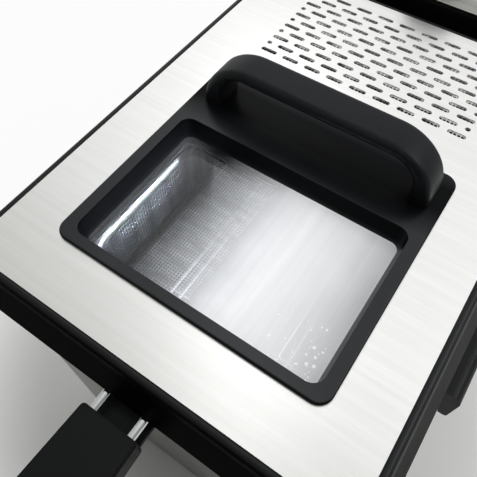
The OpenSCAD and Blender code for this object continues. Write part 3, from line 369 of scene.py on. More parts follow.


# Painted shade: the skirt's low sheen keeps it black; the top bead keeps its sheen.
black = moulded("black polypropylene, rim", "#070707", 0.42,
    painted_sheen_by_height=((240, 0.03), (258, 0.04), (260, 0.30), (262, 0.30)))
# Painted highlight at the well's foot, painted shade on the well, a painted dark line on the top
# edge, painted shade under the handle.
charcoal = moulded("charcoal satin ABS, frame", "#090a0c", 0.28,
    painted_sheen_by_height=((251, 0.45), (253.5, 0.12), (255.5, 0.03), (263.9, 0.03), (264.12, 0.50), (265, 0.50)),
    painted_shade_by_depth=((-80, 1.0), (-70, 0.95), (15, 0.88), (20, 0.6), (27, 0.3), (32, 0.12), (48, 0.12),
        (53, 0.3), (58, 0.6)))
satin_black = moulded("charcoal satin ABS, handle", "#17181b", 0.44, specular=0.17)
housing_black = moulded("black polypropylene, housings", "#08080a", 0.45, specular=0.22)
rubber = moulded("black rubber", "#0d0d0d", 0.6, specular=0.3, grain_mm=0.8)
ivory = moulded("ivory phenolic", "#cbbf9c", 0.45, specular=0.4)
dress(black, "lid_rim")
dress(housing_black, "grip_upper", "grip_lower", "carry_handle_left", "carry_handle_right",
    "rear_guide", "control_housing", "control_back_cover", "base_tray", "filter_holder",
    "thermostat_knob", "thermal_cutout", "safety_microswitch")
dress(charcoal, "window_frame")
dress(rubber, "rubber_feet", "cord_gland", "window_gasket")
dress(ivory, "thermostat", "terminal_block", "pilot_lamps")
soften(0.5, "lid_rim", "window_frame", "control_housing", "thermostat_knob")
soften(1.2, "carry_handle_left", "carry_handle_right")

# %% [markdown]
# ## Lamp lenses
# Coloured clear caps over the two neon lamps, and the red reset button. Light goes in and comes
# back tinted, so they are part see-through: transmission with a strong colour, and a small clear
# gloss. Fine ribs in the cap spread the light.

# %% Lamp lenses
def lens(name, colour):
    """Clear coloured polycarbonate, with an index of 1.58 and a rippled face."""
    material, tree, out = new_material(name)
    place = add(tree, "TexCoord").outputs["Object"]
    ribs = add(tree, "TexWave", {"Vector": place, "Scale": 400.0}, bands_direction="X")
    relief = add(tree, "Bump", {"Strength": 0.2, "Distance": 0.0002, "Height": ribs.outputs["Fac"]})
    cap = add(tree, "BsdfPrincipled", {"Base Color": linear(colour), "Roughness": 0.12,
        "IOR": 1.58, "Transmission Weight": 0.45, "Normal": relief.outputs[0]})
    tree.links.new(cap.outputs[0], out.inputs["Surface"])
    return material


dress(lens("red polycarbonate", "#c01a12"), "power_lens", "reset_button")
dress(lens("green polycarbonate", "#1fa04a"), "ready_lens")

# %% [markdown]
# ## Metals
# Chrome plate on the wires, zinc on the screws, a heat-tinted tube, bare copper, satin steel.
# Each is a metal with its own colour. A cloudy noise moves the roughness and the tint about, as
# handling and heat do: patches of 11 mm on most parts, 17 mm on the tube, 33 mm on sheet.

# %% Metals
def metal(name, colour, tint, roughness, patches=90.0):
    """A metal whose colour drifts to a tint. patches is their number in a metre."""
    material, tree, out = new_material(name)
    place = add(tree, "TexCoord").outputs["Object"]
    cloud = add(tree, "TexNoise", {"Vector": place, "Scale": patches, "Detail": 3.0})
    rough = add(tree, "MapRange", {"Value": cloud.outputs["Fac"],
        "To Min": roughness * 0.7, "To Max": roughness * 1.3})
    tone = add(tree, "Mix", {0: cloud.outputs["Fac"], 6: linear(colour), 7: linear(tint)},
        data_type="RGBA")
    steel = add(tree, "BsdfPrincipled", {"Base Color": tone.outputs[2], "Metallic": 1.0,
        "Roughness": rough.outputs[0]})
    tree.links.new(steel.outputs[0], out.inputs["Surface"])
    return material


chrome = metal("bright chrome plate", "#f4f5f7", "#e8e9ec", 0.10)
zinc = metal("zinc plated steel", "#b9bab4", "#a8a890", 0.3)
tube_steel = metal("heat tinted steel tube", "#6d625a", "#5a5560", 0.35, patches=60.0)
copper = metal("bare copper", "#b06a44", "#96583a", 0.3)
satin = metal("satin stainless", "#9c9d9b", "#8f908e", 0.34, patches=30.0)
rim_chrome = metal("basket rim, satin chrome", "#fbfbfb", "#f2f2f2", 0.46)
dress(rim_chrome, "basket_rim")
dress(chrome, "handle_bracket", "handle_wires")
dress(zinc, "foot_screws", "carry_handle_screws", "cover_screws", "grip_screws",
    "lid_handle_screws", "lid_screws")
dress(tube_steel, "heating_element")
dress(copper, "sensor_bulb")
dress(satin, "element_bracket", "thermostat_spindle", "lid_inner_shell")

# %% [markdown]
# ## The oil pan
# Drawn satin steel, a little darker below than at the top. On the inside a dark ring about 15 mm
# high that wavers a little round the pan is painted shade: it shows through the basket's fold and
# darkens that crease. A tone that follows the height draws it, and only on faces that look inwards:
# the outside of the pan keeps a plain tone. Noise in runs 17 mm wide and 70 mm tall makes the ring
# waver and the roughness drift.

# %% Oil pan
pan_steel, tree, out = new_material("pan steel, painted shade ring")
place = add(tree, "TexCoord").outputs["Object"]
stretch = add(tree, "Mapping", {"Vector": place, "Scale": (60.0, 60.0, 14.0)})
runs = add(tree, "TexNoise", {"Vector": stretch.outputs[0], "Scale": 1.0, "Detail": 3.0})
waver = add(tree, "MapRange", {"Value": runs.outputs["Fac"], "To Min": -0.008, "To Max": 0.008})
level = add(tree, "SeparateXYZ", {0: place}).outputs["Z"]
height = add(tree, "Math", {0: level, 1: waver.outputs[0]}, operation="ADD")
# Painted shade: the dark ring from 158 to 172 mm darkens the basket's fold seen through it.
tone = scale(tree, height.outputs[0], (90, "#6f7172"), (153, "#747677"), (158, "#3a3938"),
    (164, "#2a2928"), (172, "#6c6d6e"), (215, "#a4a6a8"))
normal = add(tree, "NewGeometry").outputs["Normal"]
outwards = add(tree, "VectorMath", {0: place, 1: (1.0, 1.0, 0.0)}, operation="MULTIPLY")
facing = add(tree, "VectorMath", {0: normal, 1: outwards.outputs[0]}, operation="DOT_PRODUCT")
outside = add(tree, "Math", {0: facing.outputs["Value"], 1: 0.0}, operation="GREATER_THAN")
tone = add(tree, "Mix", {0: outside.outputs[0], 6: tone, 7: linear("#9c9e9e")}, data_type="RGBA")
rough = add(tree, "MapRange", {"Value": runs.outputs["Fac"], "To Min": 0.30, "To Max": 0.50})
steel = add(tree, "BsdfPrincipled", {"Base Color": tone.outputs[2], "Metallic": 1.0,
    "Roughness": rough.outputs[0]})
tree.links.new(steel.outputs[0], out.inputs["Surface"])
dress(pan_steel, "oil_pan")

# %% [markdown]
# ## The window
# Float glass with a film of steam and grease. The glass itself is nearly invisible: a gloss of a
# few hundredths, and the rest goes straight through. The film is clear at the left and thick right
# of the middle, and streaked by wiping: the streaks are 2.4 mm wide and run from front to back. The
# film is real haze, but how thick it lies across the pane is painted light: it lays a broad bright
# band on the glass, as a reflection would. It scatters light that falls on it from above. Light
# that comes up to it through the steam would need a cloud of steam to trace, so an even glow of its
# own stands for it, painted light: half of the film is paint, half is glow, and a thin sheen lies
# over both.

# %% Window glass
glass, tree, out = new_material("float glass, steam film with painted glow")
glow_share, sheen_share = 0.5, 0.15
place = add(tree, "TexCoord").outputs["Object"]
split = add(tree, "SeparateXYZ", {0: place})
cloud = add(tree, "TexNoise", {"Vector": place, "Scale": 28.0, "Detail": 2.0})
waver = add(tree, "MapRange", {"Value": cloud.outputs["Fac"], "To Min": -0.006, "To Max": 0.006})
across = add(tree, "Math", {0: split.outputs["X"], 1: waver.outputs[0]}, operation="ADD")
# Painted light: the film's thickness across the pane draws a broad bright band.
density = scale(tree, across.outputs[0], (-66, 0.03), (-44, 0.003), (-37, 0.006), (-33, 0.03),
    (-28, 0.08), (-20, 0.15), (-10, 0.29), (0, 0.46), (10, 0.73), (20, 1.0), (30, 1.0),
    (40, 0.86), (50, 0.61), (58, 0.52), (66, 0.34))
wiped = add(tree, "Mapping", {"Vector": place, "Scale": (420.0, 9.0, 1.0)})
smears = add(tree, "TexNoise", {"Vector": wiped.outputs[0], "Scale": 1.0, "Detail": 2.0})
smear = add(tree, "MapRange", {"Value": smears.outputs["Fac"], "From Min": 0.3, "From Max": 0.7,
    "To Min": 0.955, "To Max": 1.03})
film = add(tree, "Math", {0: density, 1: smear.outputs[0]}, operation="MULTIPLY").outputs[0]
clear = add(tree, "BsdfTransparent", {"Color": linear("#f3f6fa")})
gloss = add(tree, "BsdfGlossy", {"Color": WHITE, "Roughness": 0.04})
bounce = add(tree, "Fresnel", {"IOR": 1.34})
mirror = add(tree, "MixShader", {0: bounce.outputs[0], 1: clear.outputs[0], 2: gloss.outputs[0]})
scatter = add(tree, "BsdfDiffuse", {"Color": linear("#dfe0e4")})
sheen = add(tree, "BsdfGlossy", {"Color": linear("#fdfdfd"), "Roughness": 0.42})
glow = add(tree, "Emission", {"Color": linear("#fbfcfd"), "Strength": 1.0})
lit = add(tree, "MixShader", {0: glow_share, 1: scatter.outputs[0], 2: glow.outputs[0]})
steam = add(tree, "MixShader", {0: sheen_share, 1: lit.outputs[0], 2: sheen.outputs[0]})
pane = add(tree, "MixShader", {0: film, 1: mirror.outputs[0], 2: steam.outputs[0]})
tree.links.new(pane.outputs[0], out.inputs["Surface"])
dress(glass, "window_glass")

# %% [markdown]
# ## Woven wire
# Basket and filter are plain weave: wires run two ways and pass over and under in turn. Each wire
# is a thin four-sided tube through the crossings, lifted at one and lowered at the next. A picture
# of a weave on a flat sheet would be cheaper, but it has no holes to look through and no edges to
# catch the light. Mesh of 2 mm with 0.55 mm wire suits a fryer basket.

# %% Woven wire
def weave(name, half_x, half_y, pitch, wire, shape, material, body):
    """A woven sheet. shape(x, y) gives (point, normal) in mm, or None off the sheet."""
    points, faces = [], []
    nx, ny = int(half_x / pitch), int(half_y / pitch)
    # A point a nudge further on shows which way the wire runs.
    r, lift, nudge = wire / 2, 0.52 * wire, 0.1
    for turned in (False, True):
        wires, stops = (ny, nx) if turned else (nx, ny)
        side = (1, 0) if turned else (0, 1)
        for i in range(-wires, wires + 1):
            last = None
            for j in range(-stops, stops + 1):
                x, y = (j * pitch, i * pitch) if turned else (i * pitch, j * pitch)
                here = shape(x, y)
                if here is None:
                    last = None
                    continue
                ahead = shape(x + nudge * side[0], y + nudge * side[1]) or here
                spot, normal = here
                run = ahead[0] - spot
                if run.length < 1e-6:
                    last = None
                    continue
                lean = run.cross(normal).normalized()
                over = 1 if (i + j + turned) % 2 else -1
                centre = spot + normal * (lift * over)
                base = len(points)
                points += [centre + normal * r, centre + lean * r,
                    centre - normal * r, centre - lean * r]
                if last is not None:
                    faces += band(last, base, 4)
                last = base
    print(name, "crossings", (2 * nx + 1) * (2 * ny + 1), "points", len(points))
    return piece(name, points, faces, material, body)


# %% [markdown]
# ## The basket's wire
# Bright drawn stainless. The tone follows the height over the floor: a black band just over the
# fold between the floor and the wall is painted shade in that crease, the wall is darker than the
# floor, painted shade, and lightens up to the hem, painted light. Runs down the wall that are 6 to
# 17 mm wide and about 80 mm long darken and lighten it in patches.

# %% Basket wire
wire_steel, tree, out = new_material("stainless mesh wire")
place = add(tree, "TexCoord").outputs["Object"]
mesh_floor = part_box("basket_mesh")[0][2]
level = add(tree, "SeparateXYZ", {0: place}).outputs["Z"]
height = add(tree, "Math", {0: level, 1: mesh_floor}, operation="SUBTRACT")
# Painted shade: black band over the fold, wall darker than the floor. Painted light: wall lighter up
# to the hem.
tone = scale(tree, height.outputs[0], (0, "#e9e8ec"), (1.3, "#e4e3e8"), (2.2, "#3a3a3c"),
    (3.0, "#060607"), (6.0, "#060607"), (9, "#9a9ea2"), (34, "#b4b9bc"), (45, "#f0f4f6"))
stretch = add(tree, "Mapping", {"Vector": place, "Scale": (60.0, 160.0, 12.0)})
stain = add(tree, "TexNoise", {"Vector": stretch.outputs[0], "Scale": 1.0, "Detail": 3.0})
patchy = add(tree, "MapRange", {"Value": stain.outputs["Fac"], "From Min": 0.35, "From Max": 0.65,
    "To Min": 0.45, "To Max": 1.15})
wire_tone = add(tree, "VectorMath", {0: tone, "Scale": patchy.outputs[0]}, operation="SCALE")
wire = add(tree, "BsdfPrincipled", {"Base Color": wire_tone.outputs[0], "Metallic": 1.0,
    "Roughness": 0.34})
tree.links.new(wire.outputs[0], out.inputs["Surface"])

# %% [markdown]
# ## The basket's mesh
# The basket starts as a flat sheet and is pressed over a block: every point of the sheet goes to the
# nearest point of the floor's edge, and from there out round the bottom bend and up the wall to the
# hem. So the mesh crowds at the corners, as pressed mesh does. The wall hangs 3 mm inside the hem.

# %% Basket mesh
low, high = box_mm("basket_mesh")
rim_low, rim_high = box_mm("basket_rim")
hem_r = 3.0
basket_middle = (low + high) / 2
corner, bend, inset = 48.0, 8.0, 3.0
over_floor, off_wall = 0.6, 0.35
core_x = (high.x - low.x) / 2 - corner - inset
core_y = (high.y - low.y) / 2 - corner - inset
hem_z = rim_high.z - hem_r
bend_run = bend * math.pi / 2
sheet_run = bend_run + hem_z - low.z - bend


def pressed(x, y):
    """Where a point of the flat sheet ends up, and the way it faces there."""
    core = Vector((max(-core_x, min(core_x, x)), max(-core_y, min(core_y, y))))
    away = Vector((x, y)) - core
    run = away.length - (corner - bend)
    if run > sheet_run:
        return None
    if run <= 0:
        flat = Vector((basket_middle.x + x, basket_middle.y + y, low.z + over_floor))
        return flat, Vector((0, 0, 1))
    n = away.normalized()
    if run < bend_run:
        a = run / bend
        out_by, up = bend * math.sin(a), bend * (1 - math.cos(a))
        tilt = (-math.sin(a), math.cos(a))
    else:
        out_by, up, tilt = bend, bend + run - bend_run, (-1.0, 0.0)
    spot = core + n * (corner - bend + out_by - off_wall)
    return (Vector((basket_middle.x + spot.x, basket_middle.y + spot.y, low.z + up + over_floor)),
        Vector((n.x * tilt[0], n.y * tilt[0], tilt[1])))


sheet_x, sheet_y = (core + corner - bend + sheet_run for core in (core_x, core_y))
basket = weave("basket_weave", sheet_x, sheet_y, pitch=2.0, wire=0.55, shape=pressed,
    material=wire_steel, body="basket")
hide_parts("basket_mesh")

# %% [markdown]
# ## The basket's hem
# A sharp edge of cut wires can't stay open. A strip of steel is rolled over the edge and over the
# rim wire, which leaves a round hem of 6 mm. Satin steel, bright where the lamp strikes it.

# %% Basket hem
def ring_tube(half_x, half_y, corner_r, radius, z, around=20, turns=16):
    """A tube round a rounded rectangle that measures twice half_x by half_y over its outside."""
    points, faces = [], []
    for quarter_turn, (sx, sy) in enumerate(((1, 1), (-1, 1), (-1, -1), (1, -1))):
        core = Vector((basket_middle.x + sx * (half_x - corner_r),
            basket_middle.y + sy * (half_y - corner_r)))
        for k in range(turns + 1):
            a = math.radians(90 * quarter_turn + 90 * k / turns)
            outwards = Vector((math.cos(a), math.sin(a)))
            for j in range(around):
                b = math.tau * j / around
                spot = core + outwards * (corner_r - radius + radius * math.cos(b))
                points.append((spot.x, spot.y, z + radius * math.sin(b)))
    rings = len(points) // around
    for i in range(rings):
        here, there = i * around, (i + 1) % rings * around
        faces += [(here + j, there + j, there + (j + 1) % around, here + (j + 1) % around)
            for j in range(around)]
    return points, faces


half_x, half_y = (rim_high.x - rim_low.x) / 2, (rim_high.y - rim_low.y) / 2
hem_corner = corner + 0.55
points, faces = ring_tube(half_x, half_y, hem_corner, hem_r, hem_z)
hem_tube = piece("basket_hem", points, faces, rim_chrome, "basket")
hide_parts("basket_rim")
print("hem", round(2 * half_x, 1), "by", round(2 * half_y, 1), "mm, tube", 2 * hem_r, "mm")

# %% [markdown]
# ## A dark bead in the fold
# A dull black bead about 3 mm thick runs all the way round the bend where the basket's wall meets
# its floor, nearly without gloss, with lumps of 2 mm. It is painted shade: a dark thing put in the
# crease. It sits where the bend has turned through 56 degrees.

# %% Painted shade bead in the fold
fold_shade_black, tree, out = new_material("black bead, painted fold shade")
lump_mm = 2
place = add(tree, "TexCoord").outputs["Object"]
lumps = add(tree, "TexNoise", {"Vector": place, "Scale": 1 / (lump_mm * MM), "Detail": 3.0})
tone = add(tree, "Mix", {0: lumps.outputs["Fac"], 6: linear("#020202"), 7: linear("#0a0908")},
    data_type="RGBA")
relief = add(tree, "Bump", {"Strength": 0.5, "Distance": 0.0003, "Height": lumps.outputs["Fac"]})
shade_bead = add(tree, "BsdfPrincipled", {"Base Color": tone.outputs[2], "Roughness": 0.7,
    "Specular IOR Level": 0.1, "Normal": relief.outputs[0]})
tree.links.new(shade_bead.outputs[0], out.inputs["Surface"])
# The bead is painted shade in the fold's crease.
bend_turn = math.radians(56)
bead_r, over_mesh = 1.4, 1.6
out_by = (high.x - low.x) / 2 - inset - bend + bend * math.sin(bend_turn) - bead_r
bead_corner = corner - bend + bend * math.sin(bend_turn)
bead_z = low.z + bend * (1 - math.cos(bend_turn)) + over_mesh
points, faces = ring_tube(out_by + bead_r, out_by + bead_r + core_y - core_x, bead_corner, bead_r,
    bead_z, around=10)
piece("fold_shade_bead", points, faces, fold_shade_black, "basket")
print("painted shade bead", 2 * bead_r, "mm thick")

# %% [markdown]
# ## The basket's runners
# Bright wires of 2.6 mm run under the mesh floor. A painted highlight, a glow in a thin line along
# the top of each and brightest at the front, stands for light that comes down through the window,
# and the mesh cuts that line in dashes. The inner wires are seen through more steam than the outer
# ones, so their painted highlight is stronger.

# %% Runners
runner_painted_highlight, tree, out = new_material("chrome plate, painted highlight on runners")
# Painted highlight: a glow along the top of each runner.
highlight_way = (0.42, -0.20, 0.885)
place = add(tree, "TexCoord").outputs["Object"]
split = add(tree, "SeparateXYZ", {0: place})
along = scale(tree, split.outputs["Y"], (-60, 1.0), (-40, 1.0), (-20, 0.45), (12, 0.0), (20, 0.0))
inner = scale(tree, split.outputs["X"], (-45, 0.35), (-39, 0.35), (-37, 1.0), (0, 1.0))
normal = add(tree, "NewGeometry").outputs["Normal"]
ridge = add(tree, "VectorMath", {0: normal, 1: highlight_way}, operation="DOT_PRODUCT")
line = add(tree, "MapRange", {"Value": ridge.outputs["Value"], "From Min": 0.86, "From Max": 0.97})
lit = add(tree, "Math", {0: along, 1: inner}, operation="MULTIPLY")
painted_shine = add(tree, "Math", {0: lit.outputs[0], 1: line.outputs[0]}, operation="MULTIPLY")
plate = add(tree, "BsdfPrincipled", {"Base Color": linear("#e8e9ec"), "Metallic": 1.0,
    "Roughness": 0.15})
painted_glow = add(tree, "Emission", {"Color": linear("#fafbfd"), "Strength": 4.6})
wire = add(tree, "MixShader", {0: painted_shine.outputs[0], 1: plate.outputs[0], 2: painted_glow.outputs[0]})
tree.links.new(wire.outputs[0], out.inputs["Surface"])
dress(runner_painted_highlight, "basket_support_wires")

# %% [markdown]
# ## The filter's mesh
# A flat mesh lies right under the vents. A real filter has a mesh of about 1.4 mm; it is drawn at
# 2.2 mm, so that its wires still show through the narrow slots. Light that falls through the slots
# strikes some of the wires and misses others, and a glow in clouds of 8 mm stands for that.

# %% Filter mesh
filter_steel, tree, out = new_material("bright filter wire")
place = add(tree, "TexCoord").outputs["Object"]
cloud = add(tree, "TexNoise", {"Vector": place, "Scale": 130.0, "Detail": 1.0})
caught = add(tree, "MapRange", {"Value": cloud.outputs["Fac"], "From Min": 0.45, "From Max": 0.64,
    "To Min": 0.0, "To Max": 0.5})
rough = add(tree, "MapRange", {"Value": cloud.outputs["Fac"], "To Min": 0.4, "To Max": 0.6})
wire = add(tree, "BsdfPrincipled", {"Base Color": linear("#f2f4f4"), "Metallic": 1.0,
    "Roughness": rough.outputs[0]})
painted_glow = add(tree, "Emission", {"Color": linear("#f4f7f4"), "Strength": 1.0})
struck = add(tree, "MixShader", {0: caught.outputs[0], 1: wire.outputs[0], 2: painted_glow.outputs[0]})
tree.links.new(struck.outputs[0], out.inputs["Surface"])
low, high = box_mm("filter_mesh")
middle = (low + high) / 2
screen_z = high.z + 1.6


def level_sheet(x, y):
    """The filter's mesh is flat, so its points only move to their place."""
    return Vector((middle.x + x, middle.y + y, screen_z)), Vector((0, 0, 1))


screen = weave("filter_weave", (high.x - low.x) / 2, (high.y - low.y) / 2, pitch=2.2, wire=0.55,
    shape=level_sheet, material=filter_steel, body="lid")
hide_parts("filter_mesh")

# %% [markdown]
# ## The lid's handle
# One hollow moulding: an arch whose outer line turns down to the frame in a big quarter round,
# with a tighter one inside. It is swept here: at each step along the arch there is a section, a
# rectangle with rounded corners, 3.6 mm outside where the fingers roll over it, 2.6 mm inside.

# %% Lid handle
low, high = box_mm("lid_handle")
half, tall, deep = (high.x - low.x) / 2, high.z - low.z, high.y - low.y
handle_y = (low.y + high.y) / 2
leg, bar, inner_r, foot_lift = 10.7, 6.3, 15.2, 0.1
outer_r = tall - foot_lift
foot = tall - bar - inner_r
inner_turn = inner_r * math.pi / 2


def quarter(cx, cz, r, share):
    """A point on the upper left quarter of a circle, a share of the way up from its left end."""
    a = math.pi * (1 - share / 2)
    return cx + r * math.cos(a), cz + r * math.sin(a)


arch = []
steps = 22
for k in range(steps + 1):
    share = k / steps
    outer = quarter(-half + outer_r, foot_lift, outer_r, share)
    walk = share * (foot + inner_turn)
    if walk < foot:
        inner = (-half + leg, walk)
    else:
        inner = quarter(-half + leg + inner_r, foot, inner_r, (walk - foot) / inner_turn)
    arch.append((outer, inner))
arch += [((-o[0], o[1]), (-i[0], i[1])) for o, i in reversed(arch)]


def section(thick, wide, r_out, r_in, turns=6):
    """A rounded rectangle: u from 0 inside to thick outside, v across."""
    ring = []
    for cu, cv, r, first in ((thick - r_out, wide / 2 - r_out, r_out, 0),
            (r_in, wide / 2 - r_in, r_in, 90), (r_in, -wide / 2 + r_in, r_in, 180),
            (thick - r_out, -wide / 2 + r_out, r_out, 270)):
        for k in range(turns + 1):
            a = math.radians(first + 90 * k / turns)
            ring.append((cu + r * math.cos(a), cv + r * math.sin(a)))
    return ring


points, faces = [], []
for outer, inner in arch:
    o, i = Vector(outer), Vector(inner)
    u = (o - i).normalized()
    base = len(points)
    ring = section((o - i).length, deep, r_out=3.6, r_in=2.6)
    for a, b in ring:
        flat = i + u * a
        points.append((flat.x, handle_y + b, low.z + max(flat.y, 0)))
    if base:
        faces += band(base - len(ring), base, len(ring))
handle = piece("lid_handle_moulding", points, faces, satin_black, "lid")
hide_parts("lid_handle")
print("lid handle", round(2 * half, 1), "by", round(deep, 1), "by", round(tall, 1), "mm")

# %% [markdown]
# ## The reset button's spring
# A coil of 0.6 mm spring wire between the button and the cut-out: four turns, swept along a helix.
# The button pushes its foot 2 mm up and its head stays where it is, so the real spring shortens
# with the press; the coil drawn here keeps its length and rides on the button.

# %% Reset spring
low, high = box_mm("reset_spring")
middle = (low + high) / 2
wire_r, coils, sides, per_turn = 0.3, 4, 8, 24
coil_r = (high.y - low.y) / 2 - wire_r
rise = high.z - low.z - 2 * wire_r
stops = coils * per_turn
points, faces = [], []
for k in range(stops + 1):
    a = math.tau * k / per_turn
    spoke = Vector((math.cos(a), math.sin(a), 0))
    wire_z = low.z + wire_r + rise * k / stops
    for j in range(sides):
        b = math.tau * j / sides
        ring = spoke * (coil_r + wire_r * math.cos(b)) + Vector((0, 0, wire_r * math.sin(b)))
        points.append((middle.x + ring.x, middle.y + ring.y, wire_z + ring.z))
    if k:
        faces += band((k - 1) * sides, k * sides, sides)
faces += [tuple(range(sides)), tuple(reversed(range(stops * sides, (stops + 1) * sides)))]
coil = piece("reset_coil", points, faces, chrome, "reset")
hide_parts("reset_spring")
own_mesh(coil)
print("spring", round(high.z - low.z, 1), "mm long, coil", round(2 * coil_r, 1), "mm")

# %% [markdown]
# ## Drops on the window
# Steam that has run together into beads, most of them in the front right corner. A bead of water
# on glass is a low dome, about a sixth as high as it is wide. Water has an index of 1.33. Fat makes
# it cloudy, so it is a soft white gloss and not see-through; three fifths of it is a painted glow.

# %% Drops on the window
water, tree, out = new_material("water bead with painted glow")
# Painted light: the share of each bead that glows.
drop_glow_share = 0.6
place = add(tree, "TexCoord").outputs["Object"]
ripple = add(tree, "TexNoise", {"Vector": place, "Scale": 700.0, "Detail": 1.0})
swell = add(tree, "Bump", {"Strength": 0.1, "Distance": 0.0002, "Height": ripple.outputs["Fac"]})
skin = add(tree, "BsdfPrincipled", {"Base Color": linear("#fdfdfd"), "Roughness": 0.30,
    "IOR": 1.33, "Normal": swell.outputs[0]})
drop_glow = add(tree, "Emission", {"Color": linear("#fdfdfd"), "Strength": 1.0})
glow_mixed_bead = add(tree, "MixShader", {0: drop_glow_share, 1: skin.outputs[0], 2: drop_glow.outputs[0]})
tree.links.new(glow_mixed_bead.outputs[0], out.inputs["Surface"])
luck = random.Random(7)
drops, around = 34, 12
corner_x, corner_y, strewn = 60, -70, 26
dome, peak_height = ((0.0, 1.0), (0.18, 0.86), (0.29, 0.55)), 0.33
glass_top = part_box("window_glass")[1][2] / MM
points, faces = [], []
for _ in range(drops):
    radius = 0.35 + 0.75 * luck.random() ** 3
    x = corner_x - strewn * luck.random() ** 1.5
    y = corner_y + strewn * luck.random() ** 1.5
    base = len(points)
    for height, share in dome:
        for j in range(around):
            a = math.tau * j / around
            points.append((x + radius * share * math.cos(a), y + radius * share * math.sin(a),
                glass_top + radius * height))
    points.append((x, y, glass_top + radius * peak_height))
    faces += band(base, base + around, around) + band(base + around, base + 2 * around, around)
    upper, peak = base + 2 * around, base + 3 * around
    faces += [(upper + j, upper + (j + 1) % around, peak) for j in range(around)]
    faces.append(tuple(base + j for j in reversed(range(around))))
piece("steam_drops", points, faces, water, "lid")
print("drops", drops)

# %% [markdown]
# ## The dial
# The scale is pad printed on the sloping fascia in black ink: a tick every 7 degrees of the knob's
# turn, and at every sixth a longer tick and a number. Zero is at the top, and the scale runs from
# 60 to 270 degrees, clockwise. The digits come from Blender's own font, turned to a mesh and laid
# on the slope. Pad printing leaves a satin film with a fine mottle.

# %% Dial
ink, tree, out = new_material("black pad print ink")
place = add(tree, "TexCoord").outputs["Object"]
mottle = add(tree, "TexNoise", {"Vector": place, "Scale": 900.0, "Detail": 2.0})
tone = add(tree, "Mix", {0: mottle.outputs["Fac"], 6: linear("#0a0a0b"), 7: linear("#17181a")},
    data_type="RGBA")
flat = add(tree, "MapRange", {"Value": mottle.outputs["Fac"], "To Min": 0.38, "To Max": 0.52})
print_ink = add(tree, "BsdfPrincipled", {"Base Color": tone.outputs[2],
    "Roughness": flat.outputs[0]})
tree.links.new(print_ink.outputs[0], out.inputs["Surface"])

slope = math.radians(15)
fascia_thick, clearance, ink_half = 2.4, 0.03, 0.03
low, high = box_mm("control_fascia")
knob_low, knob_high = box_mm("thermostat_knob")
knob_r = (knob_high.x - knob_low.x) / 2
middle_x = (knob_low.x + knob_high.x) / 2
fascia_up = Vector((0, math.cos(slope), math.sin(slope)))
fascia_out = Vector((0, -math.sin(slope), math.cos(slope)))
back_edge = high.y - fascia_thick * math.sin(slope)
fascia_top = Vector((middle_x, back_edge, high.z))
half_slope = (back_edge - low.y) / math.cos(slope) / 2
dial_middle = fascia_top - fascia_up * half_slope + fascia_out * clearance


def on_fascia(right, up, out_by=0.0):
    """A point measured from the middle of the dial: to the right, up the slope and off it."""
    return dial_middle + Vector((right, 0, 0)) + fascia_up * up + fascia_out * out_by


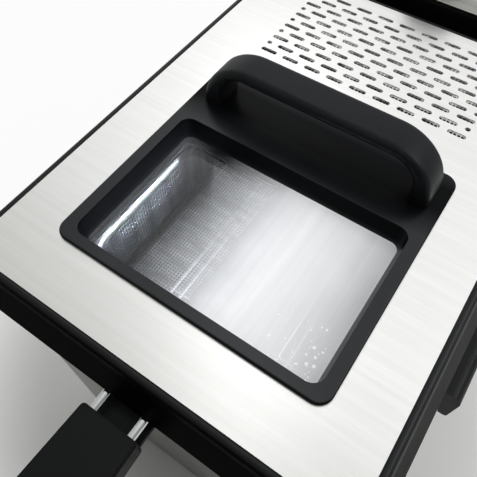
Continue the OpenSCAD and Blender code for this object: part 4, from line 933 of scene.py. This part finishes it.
points, faces = [], []
first_turn, last_turn, tick_turn, number_turn = 60, 270, 7, 42
gap, half_tick, short_tick, long_tick = 1.0, 0.35, 1.5, 2.8
for turn in range(first_turn, last_turn + 1, tick_turn):
    a = math.radians(turn)
    along, across = Vector((math.sin(a), math.cos(a))), Vector((math.cos(a), -math.sin(a)))
    end = gap + (long_tick if (turn - first_turn) % number_turn == 0 else short_tick)
    ring = [along * (knob_r + r) + across * w for r, w in ((gap, half_tick), (end, half_tick),
        (end, -half_tick), (gap, -half_tick))]
    base = len(points)
    points += [on_fascia(*spot, lift) for lift in (0.0, 2 * ink_half) for spot in ring]
    faces += band(base + 4, base, 4)
    faces += [(base + 4, base + 7, base + 6, base + 5), (base, base + 1, base + 2, base + 3)]
numbers = [(0, "0")] + [(first_turn + number_turn * k, str(90 + 20 * k)) for k in range(6)]
for turn, word in numbers:
    data = bpy.data.curves.new("digits", "FONT")
    data.body, data.size, data.extrude = word, 4.4, ink_half
    data.align_x, data.align_y = "CENTER", "CENTER"
    data.resolution_u = 3
    sign = bpy.data.objects.new("digits", data)
    mesh = sign.to_mesh()
    a = math.radians(turn)
    reach, widen = (knob_r + 6.0, 1.06) if turn else (knob_r + 4.6, 1)
    right, up = math.sin(a) * reach * widen, math.cos(a) * reach
    base = len(points)
    points += [on_fascia(right + v.co.x, up + v.co.y, v.co.z + ink_half) for v in mesh.vertices]
    faces += [tuple(base + v for v in polygon.vertices) for polygon in mesh.polygons]
    sign.to_mesh_clear()
    bpy.data.objects.remove(sign)
piece("dial_print", points, faces, ink, "control_unit", smooth=False)
print("dial middle", [round(v, 1) for v in dial_middle])

# %% [markdown]
# ## The knob's pointer
# A white insert let into the top of the knob's raised rib, proud by a tenth of a millimetre. It
# turns with the knob. It is moulded ABS with a satin face and a faint speckle.

# %% Pointer
insert_white, tree, out = new_material("white ABS insert")
place = add(tree, "TexCoord").outputs["Object"]
speckle = add(tree, "TexNoise", {"Vector": place, "Scale": 1200.0, "Detail": 2.0})
tone = add(tree, "Mix", {0: speckle.outputs["Fac"], 6: linear("#e4e4e0"), 7: linear("#f0f0ee")},
    data_type="RGBA")
satin_face = add(tree, "MapRange", {"Value": speckle.outputs["Fac"],
    "To Min": 0.32, "To Max": 0.42})
insert = add(tree, "BsdfPrincipled", {"Base Color": tone.outputs[2],
    "Roughness": satin_face.outputs[0], "IOR": 1.53})
tree.links.new(insert.outputs[0], out.inputs["Surface"])
half_wide, tip, tail = 0.9, 16.6, 8.0
rib_top, let_in, proud = 15.7, 0.5, 0.1
outline = []
for end, first in ((tip, 0), (tail, 180)):
    for turn in range(0, 181, 30):
        a = math.radians(first + turn)
        outline.append((half_wide * math.cos(a), end + half_wide * math.sin(a)))
points = [on_fascia(x, y, level) for level in (rib_top - let_in, rib_top + proud)
    for x, y in outline]
n = len(outline)
faces = band(0, n, n) + [tuple(range(n, 2 * n)), tuple(reversed(range(n)))]
piece("knob_pointer", points, faces, insert_white, "knob", smooth=False)
print("pointer", round(tip - tail + 2 * half_wide, 1), "mm long")
